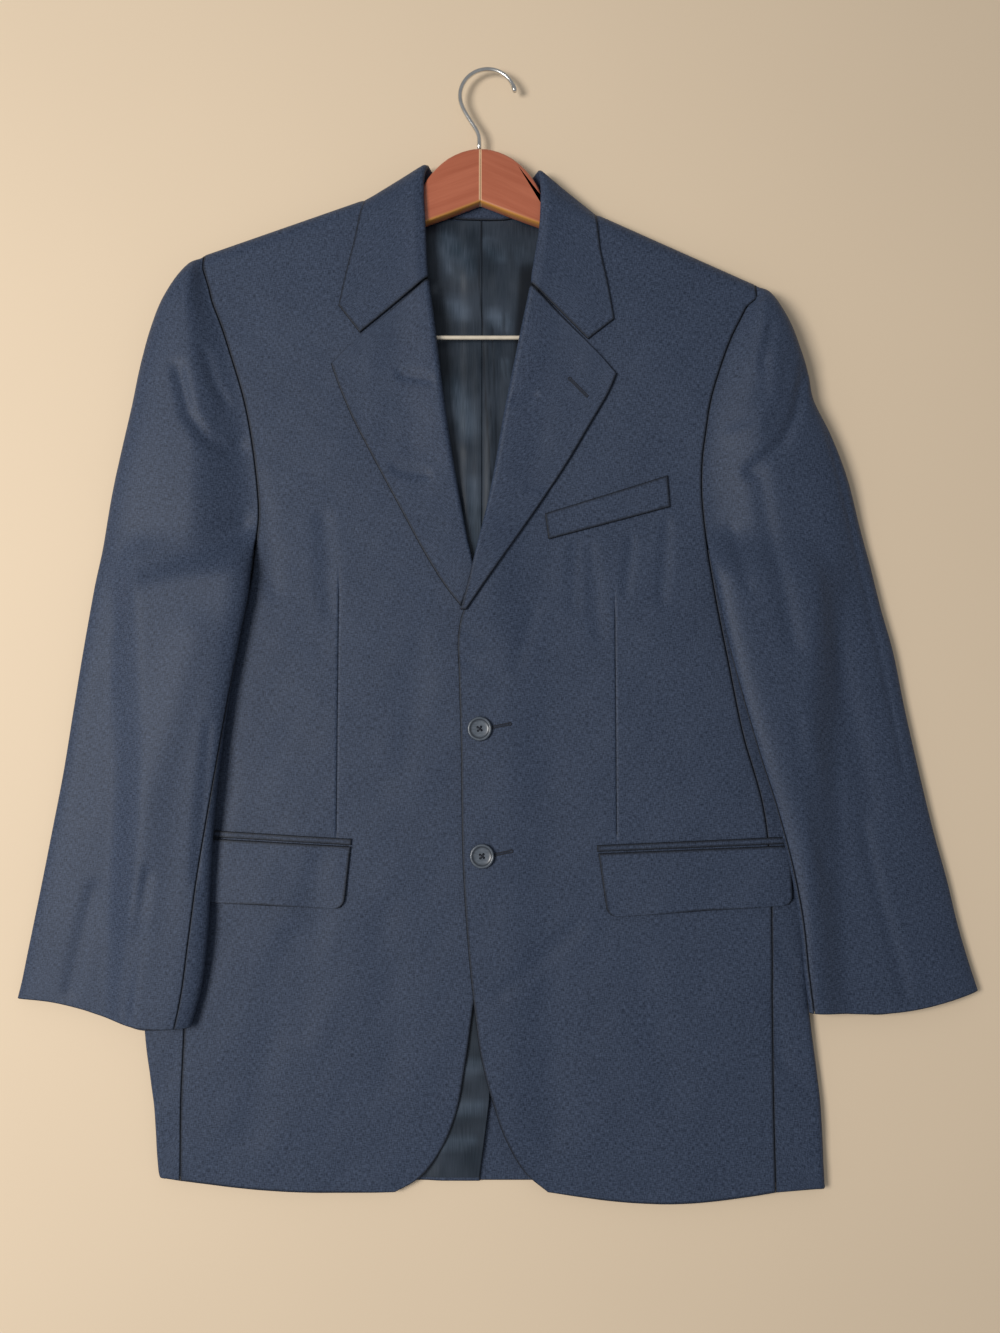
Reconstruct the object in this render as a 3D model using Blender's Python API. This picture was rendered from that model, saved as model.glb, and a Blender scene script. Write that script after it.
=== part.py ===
"""Suit jacket on a wooden hanger, laid flat on its back with the hanger still inside it.

Sizes are in millimetres. Y runs up the garment from the back hem to the hanger's hook, Z up from
the surface that it lies on, and X towards the wearer's left. Tables give x as the distance outward
from the centre front, so one table row reads the same way on both sides of the garment.
"""
import math
from collections import namedtuple

import bmesh
import bpy
from mathutils import Vector
from mathutils.bvhtree import BVHTree

MM = 0.001
RIGHT, LEFT = -1, 1  # the wearer's right lies at -X, the wearer's left at +X
SIDE_NAMES = {RIGHT: "right", LEFT: "left"}

# Walls of the cloth, and the clearance that seams and layers keep.
BACK_WALL = 1.5
FRONT_WALL = 2.4
SLEEVE_WALL = 1.5
LAPEL_WALL = 2.4
COLLAR_WALL = 1.6
LINING_WALL = 0.8
FLAP_WALL = 1.8
GAP = 0.3
SEAM = 0.35  # half of the clearance between two cut edges

# Heights of the middle of each layer over the floor.
BACK_Z = BACK_WALL / 2
LINING_Z = BACK_WALL + GAP + LINING_WALL / 2 + 0.1
CENTRE_Z = 6.0  # fronts at the centre
SIDE_Z = 8.0  # fronts and side panels at the side folds
OVER_HANGER_Z = 18.1
SHOULDER_SEAM_Z = 8.7
COLLAR_LIFT = COLLAR_WALL + GAP  # the fall lies under the back of the neck
FLAP_RISE = FRONT_WALL / 2 + GAP + FLAP_WALL / 2 + 0.15
LAPEL_RISE = FRONT_WALL / 2 + GAP + LAPEL_WALL / 2 + 0.5
FALL_RISE = FRONT_WALL / 2 + GAP + COLLAR_WALL / 2 + 0.15
OVERLAP_RISE = FRONT_WALL + GAP

# Hanger.
WOOD_LOW_Z, WOOD_HIGH_Z = 4.9, 16.5
WOOD_HALF_SPAN = 208.0
WOOD_BEVEL = 1.6
WIRE_Z = (WOOD_LOW_Z + WOOD_HIGH_Z) / 2
HOOK_RADIUS = 23.2
HOOK_WIRE = 3.6
HOOK_CENTRE = Vector((6.0, 888.5))
SHANK_X, SHANK_LOW, SHANK_HIGH = -1.0, 840.4, 853.0
BAR_WIRE = 3.4
BAR_Y, BAR_HALF, BAR_BEND = 680.5, 184.0, 8.0
WIRE_SIDES = 12

# Shoulder lines: the height y at a distance out from the centre, and the fall per mm outward.
Shoulder = namedtuple("Shoulder", "out y slope over_arm end")
SHOULDERS = {
    RIGHT: Shoulder(out=96.0, y=798.0, slope=0.361, over_arm=66.0, end=228.0),
    LEFT: Shoulder(out=95.0, y=786.0, slope=0.4615, over_arm=48.0, end=227.0),
}
NECK_OUT = 61.0  # the neck points
NECK_DROP = 4.0  # the body's shoulder line is this far inside the collar
SHOULDER_ROUND = 15.0
CHEST_FADE = 190.0
BACK_SEAM_OUT = 205.0
ARMPIT_Y = 504.0
ROLL_RISE = 3.0  # how far the lapel's soft roll stands up
ROLL_FADE = 35.0

# Fronts, from the hem up: the front edge or roll line (inner) and the side seam or armhole (outer).
Row = namedtuple("Row", "inner inner_y outer outer_y")
FRONT_ROWS = {
    RIGHT: [
        Row(66, -5, 234.5, 4), Row(48, 5, 234.7, 24), Row(30, 27, 235, 46),
        Row(19, 52, 235, 68), Row(11, 92, 234.3, 100), Row(5, 135, 233.3, 140),
        Row(-4, 200, 233, 205), Row(-9, 262, 232.5, 268), Row(-11, 330, 221, 330),
        Row(-12, 395, 204, 395), Row(-11, 440, 192, 452), Row(4, 466, 186.5, 482),
        Row(13.5, 492, 184, ARMPIT_Y), Row(15, 512, 181.5, 527), Row(24, 550, 183, 560),
        Row(30.5, 591, 187, 594), Row(36.5, 632, 193, 626), Row(41.5, 678, 203, 660),
        Row(46.5, 712, 213, 690), Row(50, 728, 219, 705), Row(57, 750, 223, 720),
    ],
    LEFT: [
        Row(54, -5, 232.5, -5), Row(38, 9, 232.4, 16), Row(24, 34, 232.2, 42),
        Row(12, 64, 232, 75), Row(3, 100, 232.3, 110), Row(-4, 137, 232.6, 145),
        Row(-7, 180, 233, 185), Row(-9, 253, 232.5, 255), Row(-11, 301, 227, 300),
        Row(-14, 350, 213, 352), Row(-17, 400, 201, 415), Row(-17.5, 435, 191.5, 468),
        Row(-13, 455, 186, ARMPIT_Y), Row(-2, 481, 183, 530), Row(5, 512, 181.5, 552),
        Row(13, 545, 182, 578), Row(20, 580, 185, 602), Row(25.5, 614, 189, 627),
        Row(32.5, 648, 197, 654), Row(40, 684, 206, 678), Row(47.5, 718, 214, 694),
        Row(56, 748, 219, 704),
    ],
}
HEM_DIP = {RIGHT: 4.0, LEFT: 9.0}  # how far the hem bows down between its ends
SEAM_ROWS = {RIGHT: 13, LEFT: 13}  # rows below the armpit, shared with the side panel
FRONT_COLUMNS = (0, 0.07, 0.2, 0.36, 0.52, 0.68, 0.84, 1)
SHOULDER_STEPS = (SHOULDER_ROUND, 9.0, 4.0, 1.2, 0.0)

# Side folds, from the hem up.
Fold = namedtuple("Fold", "y out")
SIDE_FOLDS = {
    RIGHT: [Fold(6, 250), Fold(57, 256), Fold(125, 266), Fold(210, 267), Fold(320, 264),
            Fold(420, 268), Fold(ARMPIT_Y, 274)],
    LEFT: [Fold(-2, 272), Fold(65, 269), Fold(133, 262), Fold(220, 259), Fold(320, 258),
           Fold(420, 264), Fold(ARMPIT_Y, 272)],
}
SIDE_HEM_Y = {RIGHT: 6.0, LEFT: -2.0}

# Back, from the hem up: the side seam, then the armhole, and the height above the hem as a share.
BackRow = namedtuple("BackRow", "share outer")
BACK_ROWS = [
    BackRow(0, 205), BackRow(0.1, 205), BackRow(0.2, 205), BackRow(0.27, 205),
    BackRow(0.306, 205), BackRow(0.34, 205), BackRow(0.42, 205),
    BackRow(0.54, 205), BackRow(0.67, 204.5), BackRow(0.75, 200), BackRow(0.82, 199),
    BackRow(0.88, 203), BackRow(0.93, 211), BackRow(0.975, 221),
]
BACK_HEM_Y = 2.0
BACK_NECK_Y = 782.6
NECK_DIP = [Fold(0, 0), Fold(22, 0.9), Fold(45, 6), Fold(NECK_OUT, 20)]  # y: out, out: rise
VENT_TOP_Y = 238.0
VENT_LAP = {RIGHT: 9.0, LEFT: 26.0}  # how far each back passes the centre below the vent

# Lapels, from the break point up to the gorge: the roll line and the outer edge.
Lapel = namedtuple("Lapel", "roll roll_y edge edge_y")
LAPEL_ROWS = {
    RIGHT: [
        Lapel(5, 482, 15.5, 457.5), Lapel(7, 496, 28, 473.5), Lapel(11, 513, 42, 495.5),
        Lapel(18, 550, 64, 535.5), Lapel(25, 591, 86, 576.5), Lapel(31, 632, 105, 613),
        Lapel(35, 665, 116, 639), Lapel(38, 690, 122, 656), Lapel(40.5, 708, 111, 667),
        Lapel(43, 725.5, 97.5, 679),
    ],
    LEFT: [
        Lapel(-15, 454, -11, 454), Lapel(-8, 481, 6, 479), Lapel(-1, 509, 28, 511),
        Lapel(7, 542, 50, 543), Lapel(14, 578, 73, 578), Lapel(19.5, 611, 92, 610),
        Lapel(26, 644, 105, 632), Lapel(33, 678, 112, 648), Lapel(37.5, 699, 101, 660.5),
        Lapel(42, 720.5, 87.5, 674),
    ],
}
LAPEL_COLUMNS = (0, 0.12, 0.3, 0.5, 0.7, 0.87)

# Collar, from the gorge round to the back of the neck: how far it has turned under, its fold,
# the edge of its fall, and the neck seam of its stand.
Collar = namedtuple("Collar", "turn fold fold_y edge edge_y seam seam_y")
COLLAR_ROWS = {
    RIGHT: [
        Collar(0, 43.3, 727.5, 98.5, 681.5, 47.0, 731), Collar(0, 44, 738, 116, 704, 49, 742),
        Collar(0, 45, 757, 110, 733, 53.5, 760), Collar(0, 46, 780, 103.5, 760, 57, 781),
        Collar(15, 47, 800, 98.5, 783, 58.5, 796), Collar(45, 46.5, 817, 96.5, 795, 58, 803),
        Collar(90, 44, 827, 95, 799.5, 55, 809), Collar(135, 41.5, 825, 92, 795, 52, 807),
        Collar(165, 38, 820, 84, 785, 48, 799), Collar(180, 33, 817, 68, 776, 41, 791),
        Collar(180, 18, 815.5, 35, 772, 22, 785.5), Collar(180, 0, 815, 0, 771, 0, 784.2),
    ],
    LEFT: [
        Collar(0, 42.3, 722.5, 88.5, 676.5, 46.0, 726), Collar(0, 43.3, 733, 110, 693, 49, 737),
        Collar(0, 46.5, 752, 105, 722, 53.5, 756), Collar(0, 49.5, 772, 99.5, 748, 58, 775),
        Collar(15, 50.5, 792, 96.5, 767, 59.5, 788), Collar(45, 50.5, 808, 95.5, 779, 58.5, 796),
        Collar(90, 48, 822, 94.5, 784, 56.5, 801), Collar(135, 45.5, 821, 91, 780, 53, 800),
        Collar(165, 41, 818, 83, 776, 48.5, 797), Collar(180, 34, 816.5, 66, 773, 41, 791),
        Collar(180, 18, 815.3, 35, 771.5, 22, 784.8), Collar(180, 0, 815, 0, 771, 0, 784.2),
    ],
}
EAR_NORMAL = {RIGHT: Vector((0.47, 0.88)), LEFT: Vector((0.63, 0.77))}  # (outward, y)
TURN_Z = 10.9
FOLD_NEAR = 1.7

# Sleeves, from the shoulder to the cuff: armhole or inner fold, outer fold, height of the cloth
# that it lies on there, height of the tube, and how much of the face the under sleeve shows.
Sleeve = namedtuple("Sleeve", "inner inner_y outer outer_y base loft seam")
SLEEVE_ROWS = {
    RIGHT: [
        Sleeve(228, 749.5, 234.5, 747, 4.4, 7.0, 0), Sleeve(228, 745, 241, 742, 1.2, 16, 0),
        Sleeve(228, 735.3, 247.5, 733, 0, 23, 0),
        Sleeve(223, 720, 260, 713, 0, 27, 0), Sleeve(213, 690, 270, 688, 0, 28, 0),
        Sleeve(203, 660, 278, 657, 0, 28, 0), Sleeve(193, 626, 285, 620, 0, 27, 0),
        Sleeve(187, 594, 292, 587, 1, 26, 0), Sleeve(183, 560, 299, 554, 2.5, 24, 0),
        Sleeve(181.5, 527, 305, 521, 6, 21, 0), Sleeve(184, ARMPIT_Y, 309, 498, 10.5, 18, 0),
        Sleeve(186, 470, 315, 462, 11.8, 16, 0), Sleeve(193, 430, 321, 423, 11.8, 15, 0),
        Sleeve(201, 381, 328, 373, 11.8, 14, 0.012), Sleeve(207, 330, 335, 321, 11.8, 14, 0.03),
        Sleeve(211, 285, 343, 274, 11.8, 13, 0.05), Sleeve(213, 240, 351, 228, 11.8, 12, 0.08),
        Sleeve(214.5, 195, 359, 183, 11.8, 12, 0.1), Sleeve(220, 150, 364, 155, 10.6, 12, 0.1),
        Sleeve(227, 124, 366.5, 144, 10.2, 12, 0.09),
    ],
    LEFT: [
        Sleeve(227, 724.5, 233.5, 723, 4.4, 7.0, 0), Sleeve(227, 720, 239, 718, 1.2, 16, 0),
        Sleeve(227, 710, 245, 709, 0, 23, 0),
        Sleeve(214, 694, 255, 691, 0, 27, 0), Sleeve(206, 678, 263, 669, 0, 28, 0),
        Sleeve(197, 654, 269, 648, 0, 28, 0), Sleeve(189, 627, 273, 627, 0, 26, 0),
        Sleeve(185, 602, 286, 599, 1, 26, 0), Sleeve(182.5, 566, 300, 562, 2.5, 24, 0),
        Sleeve(183, 530, 309, 527, 6, 21, 0), Sleeve(186, ARMPIT_Y, 317, 496, 10.5, 18, 0),
        Sleeve(190, 478, 325, 458, 11.8, 16, 0), Sleeve(197, 442, 334, 424, 11.8, 15, 0),
        Sleeve(209, 389, 343, 375, 11.8, 14, 0.012), Sleeve(222, 341, 352, 330, 11.8, 14, 0.015),
        Sleeve(236, 293, 364, 275, 11.8, 13, 0.02), Sleeve(247, 246, 374, 236, 11.8, 12, 0.025),
        Sleeve(253, 207, 381, 203, 11.8, 12, 0.03), Sleeve(256.5, 168, 389, 173, 10.6, 12, 0.03),
        Sleeve(260, 135, 396, 150, 10.2, 12, 0.03),
    ],
}
SLEEVE_ARMPIT = 10  # from this row on, the sleeve is a closed tube
SLEEVE_DROP = 34.0  # width of the slope from the body down to the floor
BACK_SLEEVE_SEAM = 0.74  # share of the width at which the two sleeve pieces meet underneath
UNDER_TOP = 5  # the row at which the under sleeve's top edge meets the back armhole
TOP_SLEEVE_COLUMNS = 15
UNDER_SLEEVE_COLUMNS = 10

# Pockets: corners on the fronts (out, y), from the front top round by the side.
Strip = namedtuple("Strip", "side near_top far_top far_low near_low wall rise columns")
STRIPS = {
    "pocket_flap_right": Strip(RIGHT, (103, 264), (243, 272), (241, 221), (108, 214.5),
                               FLAP_WALL, FLAP_RISE, 7),
    "pocket_flap_left": Strip(LEFT, (95, 258.5), (248, 265), (250, 218), (102, 208),
                              FLAP_WALL, FLAP_RISE, 7),
    "pocket_jet_right": Strip(RIGHT, (102.5, 270), (243, 278.5), (243, 273.2), (102.7, 265),
                              1.2, FRONT_WALL / 2 + GAP + 0.6, 7),
    "pocket_jet_left": Strip(LEFT, (94, 265), (246, 271.8), (246, 266.2), (94.2, 259.7),
                             1.2, FRONT_WALL / 2 + GAP + 0.6, 7),
    "breast_welt": Strip(LEFT, (53, 534), (153.5, 565), (155.5, 539), (56, 512.5),
                         FLAP_WALL, FLAP_RISE, 5),
}

# Buttons on the centre line.
BUTTON_PLACES = {"button_upper": (0.0, 358.0), "button_lower": (2.0, 256.5)}
BUTTON_RADIUS = 9.8
BUTTON_THICK = 3.0
BUTTON_HOLE_RADIUS = 0.9
BUTTON_HOLE_OUT = 1.7

# Back lining, one piece for each half.
LINING_OUT = 56.0
LINING_HEM_Y = 14.0
LINING_PLEAT = 11.0  # the right half laps over the left by this much

Finish = namedtuple("Finish", "colour roughness metallic")
FINISHES = {
    "suiting": Finish((0.052, 0.064, 0.105, 1), 0.85, 0.0),
    "lining": Finish((0.028, 0.038, 0.055, 1), 0.38, 0.0),
    "button": Finish((0.16, 0.18, 0.21, 1), 0.4, 0.0),
    "wood": Finish((0.36, 0.11, 0.05, 1), 0.28, 0.0),
    "steel": Finish((0.72, 0.70, 0.66, 1), 0.25, 1.0),
}


def smooth(t):
    t = max(0.0, min(1.0, t))
    return t * t * (3 - 2 * t)


def mix(a, b, t):
    return a + (b - a) * t


def between(table, y, column):
    """The named column of a table at height y, on straight lines between its rows."""
    rows = sorted(table, key=lambda row: row[0])
    if y <= rows[0][0]:
        return getattr(rows[0], column)
    for low, high in zip(rows, rows[1:]):
        if y <= high[0]:
            return mix(getattr(low, column), getattr(high, column),
                       (y - low[0]) / (high[0] - low[0]))
    return getattr(rows[-1], column)


def shoulder_y(side, out):
    """The body's shoulder line. It passes inside the collar near the neck."""
    line = SHOULDERS[side]
    drop = NECK_DROP * (1 - smooth((out - line.out) / 20)) + 4 * (1 - smooth((out - 61) / 16))
    return line.y - line.slope * (out - line.out) - drop


def quarter_round(depth, radius):
    """0 on the flat, growing to 1 at the very edge of a rounded turn."""
    into = max(0.0, min(1.0, (radius - depth) / radius))
    return 1 - math.sqrt(1 - into * into)


def body_z(side, x, y):
    """The middle of the front cloth: over the back at the waist, up over the hanger's arms."""
    out = max(side * x, 0.0)
    low = mix(CENTRE_Z, SIDE_Z, smooth(out / 200))
    below = shoulder_y(side, out) - y
    rise = smooth(1 - (below - SHOULDERS[side].over_arm) / CHEST_FADE)
    z = mix(low, OVER_HANGER_Z, rise)
    z -= (OVER_HANGER_Z - SHOULDER_SEAM_Z - GAP) * quarter_round(below, SHOULDER_ROUND)
    if side == LEFT:  # the left front laps over the right front, and over the right lapel's tip
        z += OVERLAP_RISE * (1 - smooth((x - 20) / 40)) * (1 - smooth((y - 500) / 60))
        tip = smooth((y - 412) / 30) * (1 - smooth((y - 500) / 45))
        z += (LAPEL_WALL + GAP) * (1 - smooth((x - 8) / 30)) * tip
    return z


def new_object(name, mesh, finish):
    obj = bpy.data.objects.new(name, mesh)
    bpy.context.scene.collection.objects.link(obj)
    obj.data.materials.append(material(finish))
    return obj


def material(name):
    made = bpy.data.materials.get(name)
    if made:
        return made
    made = bpy.data.materials.new(name)
    made.use_nodes = True
    shader = made.node_tree.nodes["Principled BSDF"]
    shader.inputs["Base Color"].default_value = FINISHES[name].colour
    shader.inputs["Roughness"].default_value = FINISHES[name].roughness
    shader.inputs["Metallic"].default_value = FINISHES[name].metallic
    return made


def grid_normals(points):
    """Unit normals at a grid's points, each with how much a corner there stretches the wall."""
    rows, columns = len(points), len(points[0])
    facing = [[Vector() for _ in range(columns)] for _ in range(rows)]
    faces = []
    for r in range(rows - 1):
        for c in range(columns - 1):
            across = points[r + 1][c + 1] - points[r][c]
            normal = across.cross(points[r + 1][c] - points[r][c + 1]).normalized()
            faces.append((r, c, normal))
            for i, j in ((r, c), (r, c + 1), (r + 1, c), (r + 1, c + 1)):
                facing[i][j] += normal
    for line in facing:
        for normal in line:
            normal.normalize()
    lean = [[1.0] * columns for _ in range(rows)]
    for r, c, normal in faces:
        for i, j in ((r, c), (r, c + 1), (r + 1, c), (r + 1, c + 1)):
            lean[i][j] = min(lean[i][j], max(normal.dot(facing[i][j]), 0.8))
    return facing, lean


def cloth(name, grid, wall, finish="suiting"):
    """A wall of even thickness whose middle passes through a grid of points."""
    points = [[Vector(point) for point in row] for row in grid]
    rows, columns = len(points), len(points[0])
    facing, lean = grid_normals(points)
    made = []
    for way in (1, -1):
        for line, normals, stretches in zip(points, facing, lean):
            for point, normal, stretch in zip(line, normals, stretches):
                at = point + normal * (way * wall / 2 / stretch)
                made.append(Vector((at.x, at.y, max(at.z, 0.0))) * MM)
    under = rows * columns
    faces = []
    for r in range(rows - 1):
        for c in range(columns - 1):
            quad = (r * columns + c, r * columns + c + 1,
                    (r + 1) * columns + c + 1, (r + 1) * columns + c)
            faces.append(quad)
            faces.append(tuple(under + index for index in reversed(quad)))
    rim = [c for c in range(columns)]
    rim += [r * columns + columns - 1 for r in range(1, rows)]
    rim += [(rows - 1) * columns + c for c in range(columns - 2, -1, -1)]
    rim += [r * columns for r in range(rows - 2, 0, -1)]
    for first, second in zip(rim, rim[1:] + rim[:1]):
        faces.append((second, first, under + first, under + second))
    mesh = bpy.data.meshes.new(name)
    mesh.from_pydata(made, [], faces)
    bm = bmesh.new()
    bm.from_mesh(mesh)
    bmesh.ops.recalc_face_normals(bm, faces=bm.faces)
    bm.to_mesh(mesh)
    bm.free()
    mesh.shade_smooth()
    return new_object(name, mesh, finish)


def drape(side):
    """Gives the height of a front's middle surface at a point, from the front's own grid."""
    grid = front_grid(side)
    columns = len(grid[0])
    points = [Vector(point) for row in grid for point in row]
    faces = [
        (r * columns + c, r * columns + c + 1, (r + 1) * columns + c + 1, (r + 1) * columns + c)
        for r in range(len(grid) - 1)
        for c in range(columns - 1)
    ]
    tree = BVHTree.FromPolygons(points, faces)

    def height(x, y):
        hit = tree.ray_cast(Vector((x, y, 100.0)), Vector((0, 0, -1)))[0]
        return hit.z if hit else body_z(side, x, y)

    return height


def front_grid(side):
    """A front from the hem to the shoulder seam, with its edge or roll line and its armhole."""
    grid = []
    rows = FRONT_ROWS[side]
    for index, row in enumerate(rows):
        dip = HEM_DIP[side] * max(0.0, 1 - index / 3)
        line = []
        for share in FRONT_COLUMNS:
            out = mix(row.inner, row.outer - SEAM, share)
            y = mix(row.inner_y, row.outer_y, share) - dip * math.sin(math.pi * share)
            line.append((side * out, y, body_z(side, side * out, y)))
        grid.append(line)
    for step in SHOULDER_STEPS:
        line = []
        for share in FRONT_COLUMNS:
            out = mix(NECK_OUT, SHOULDERS[side].end - SEAM, share)
            y = shoulder_y(side, out) - step
            line.append((side * out, y, body_z(side, side * out, y)))
        grid.append(line)
    return grid


def front(side):
    return cloth("front_" + SIDE_NAMES[side], front_grid(side), FRONT_WALL)


def side_panel(side):
    """The panel that wraps round the side fold, from the front seam to the back seam."""
    grid = []
    for row in FRONT_ROWS[side][:SEAM_ROWS[side]]:
        seam = row.outer + SEAM
        fold = between(SIDE_FOLDS[side], row.outer_y, "out")
        top_z = body_z(side, side * seam, row.outer_y)
        radius = (top_z - BACK_Z) / 2
        hem = 1 - smooth(row.outer_y / 60)
        fold_y = mix(row.outer_y, SIDE_HEM_Y[side], hem)
        back_y = mix(row.outer_y, BACK_HEM_Y, hem)
        line = [(seam, row.outer_y, top_z),
                (mix(seam, fold - radius, 0.5), mix(row.outer_y, fold_y, 0.5), top_z)]
        for degrees in (90, 54, 18, -18, -54, -90):
            angle = math.radians(degrees)
            line.append((fold - radius + radius * math.cos(angle), fold_y,
                         BACK_Z + radius + radius * math.sin(angle)))
        line.append((mix(fold - radius, BACK_SEAM_OUT, 0.5), mix(fold_y, back_y, 0.5), BACK_Z))
        line.append((BACK_SEAM_OUT + SEAM, back_y, BACK_Z))
        grid.append([(side * out, y, z) for out, y, z in line])
    return cloth("side_panel_" + SIDE_NAMES[side], grid, BACK_WALL)


def collar_lift(x, y):
    """How far the fall of the collar raises what lies over it at the back of the neck."""
    return COLLAR_LIFT * smooth((y - 718) / 22) * (1 - smooth((abs(x) - 97) / 14))


def vent_rise(side, x, y):
    """The right back lies over the left one below the top of the vent."""
    if side == LEFT:
        return 0.0
    inside = 1 - smooth((-x - VENT_LAP[LEFT] - 3) / 14)
    return (BACK_WALL + GAP) * inside * (1 - smooth((y - VENT_TOP_Y - 3) / 24))


def back_outline(side):
    """Rows of the back: how far up, the outer edge, and the depth below the shoulder line."""
    rows = [(row.share, row.outer, SHOULDER_ROUND + 2) for row in BACK_ROWS]
    return rows + [(1.0, SHOULDERS[side].end, step) for step in SHOULDER_STEPS]


def back_point(side, share, out, depth):
    """A point of the back's middle surface; depth is its distance under the top edge."""
    if out < NECK_OUT:
        top_y = BACK_NECK_Y + between(NECK_DIP, max(out, 0.0), "out")
    else:
        top_y = shoulder_y(side, out)
    y = mix(BACK_HEM_Y, top_y - depth, share)
    x = side * out
    z = BACK_Z + collar_lift(x, y) + vent_rise(side, x, y)
    if share == 1.0:
        up = quarter_round(depth, SHOULDER_ROUND) * smooth((out - NECK_OUT) / 12)
        z += (SHOULDER_SEAM_Z - 3.5 * GAP - z) * up
    return x, y, z


def vent_lap(side, share):
    """How far the centre edge passes the centre line there."""
    y = share * BACK_NECK_Y
    return VENT_LAP[side] * (1 - smooth((y - VENT_TOP_Y + 12) / 12))


def back(side):
    """A back from the hem to the neck and shoulder seam, with half of the centre vent."""
    grid = []
    for share, outer, depth in back_outline(side):
        outs = [SEAM - vent_lap(side, share), 12, 29, 43, LINING_OUT, NECK_OUT, 74, 95, 128]
        outs += [mix(128, outer - SEAM, part) for part in (0.4, 0.75, 1)]
        grid.append([back_point(side, share, out, depth) for out in outs])
    return cloth("back_" + SIDE_NAMES[side], grid, BACK_WALL)


def lining(side):
    """Half of the back lining. The right half laps over the left to make the centre pleat."""
    grid = []
    rise = LINING_Z - BACK_Z
    for index, (share, _, depth) in enumerate(back_outline(side)):
        pleat = LINING_PLEAT if side == RIGHT else 0.0
        if share > 0.32:
            outs = [SEAM - pleat, 0 if side == RIGHT else 6, 12, 29, 43, LINING_OUT]
        elif side == RIGHT:
            outs = [SEAM - VENT_LAP[RIGHT] + 1, 0, 12, 29, 43, LINING_OUT]
        else:
            outs = [43, 45.6, 48.2, 50.8, 53.4, LINING_OUT]
        line = []
        for out in outs:
            x, y, z = back_point(side, share, out, depth)
            if index == 0:
                y += LINING_HEM_Y - BACK_HEM_Y
            if side == RIGHT and share > 0.32 and out < 12:
                z += LINING_WALL + GAP
            line.append((x, y, z + rise))
        grid.append(line)
    return cloth("back_lining_" + SIDE_NAMES[side], grid, LINING_WALL, "lining")


def lapel(side):
    """A lapel lying on its front, with its roll line curled down to the front's edge."""
    grid = []
    height = drape(side)
    for row in LAPEL_ROWS[side]:
        roll = Vector((row.roll, row.roll_y))
        edge = Vector((row.edge, row.edge_y))
        width = (edge - roll).length
        along = (edge - roll) / width
        swell = ROLL_RISE * smooth((width - 30) / 40)
        line = []
        for share in LAPEL_COLUMNS:
            at = edge.lerp(roll, share)
            puff = swell * (1 - smooth((at - roll).length / ROLL_FADE))
            line.append((at, height(side * at.x, at.y) + LAPEL_RISE + puff))
        radius = (LAPEL_RISE + swell) / 2 * max(smooth(width / 40), 0.25)
        middle = height(side * (roll.x + 6), roll.y) + LAPEL_RISE + swell - radius
        for degrees, out in ((60, 0.9), (30, 0.35), (0, 0.0), (-35, 0.3), (-70, 0.8)):
            at = roll + along * min(radius * out, width * 0.3)
            line.append((at, middle + radius * math.sin(math.radians(degrees))))
        grid.append([(side * at.x, at.y, z) for at, z in line])
    return cloth("lapel_" + SIDE_NAMES[side], grid, LAPEL_WALL)


def turned(side, out, degrees):
    """Where the fall's edge goes round the shoulder: over its front, then under its back."""
    steep = min(degrees, 180 - degrees)
    if degrees <= 90:
        start, end, clearance = OVER_HANGER_Z, SHOULDER_SEAM_Z + GAP, FALL_RISE + 3 * GAP
    else:
        start, end = BACK_Z + COLLAR_LIFT, SHOULDER_SEAM_Z - 2 * GAP
        clearance = (BACK_WALL + COLLAR_WALL) / 2 + 2 * GAP
    turn = math.radians(steep)
    at = math.pi / 2
    if steep < 90:
        at = math.atan(math.tan(turn) * SHOULDER_ROUND / abs(end - start))
    y = shoulder_y(side, out) - SHOULDER_ROUND * (1 - math.sin(at)) + clearance * math.sin(turn)
    away = 1 if degrees <= 90 else -1
    z = start + (end - start) * (1 - math.cos(at)) + away * clearance * math.cos(turn)
    return y, min(z, COLLAR_WALL * 0.6) if degrees > 150 else z


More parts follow.
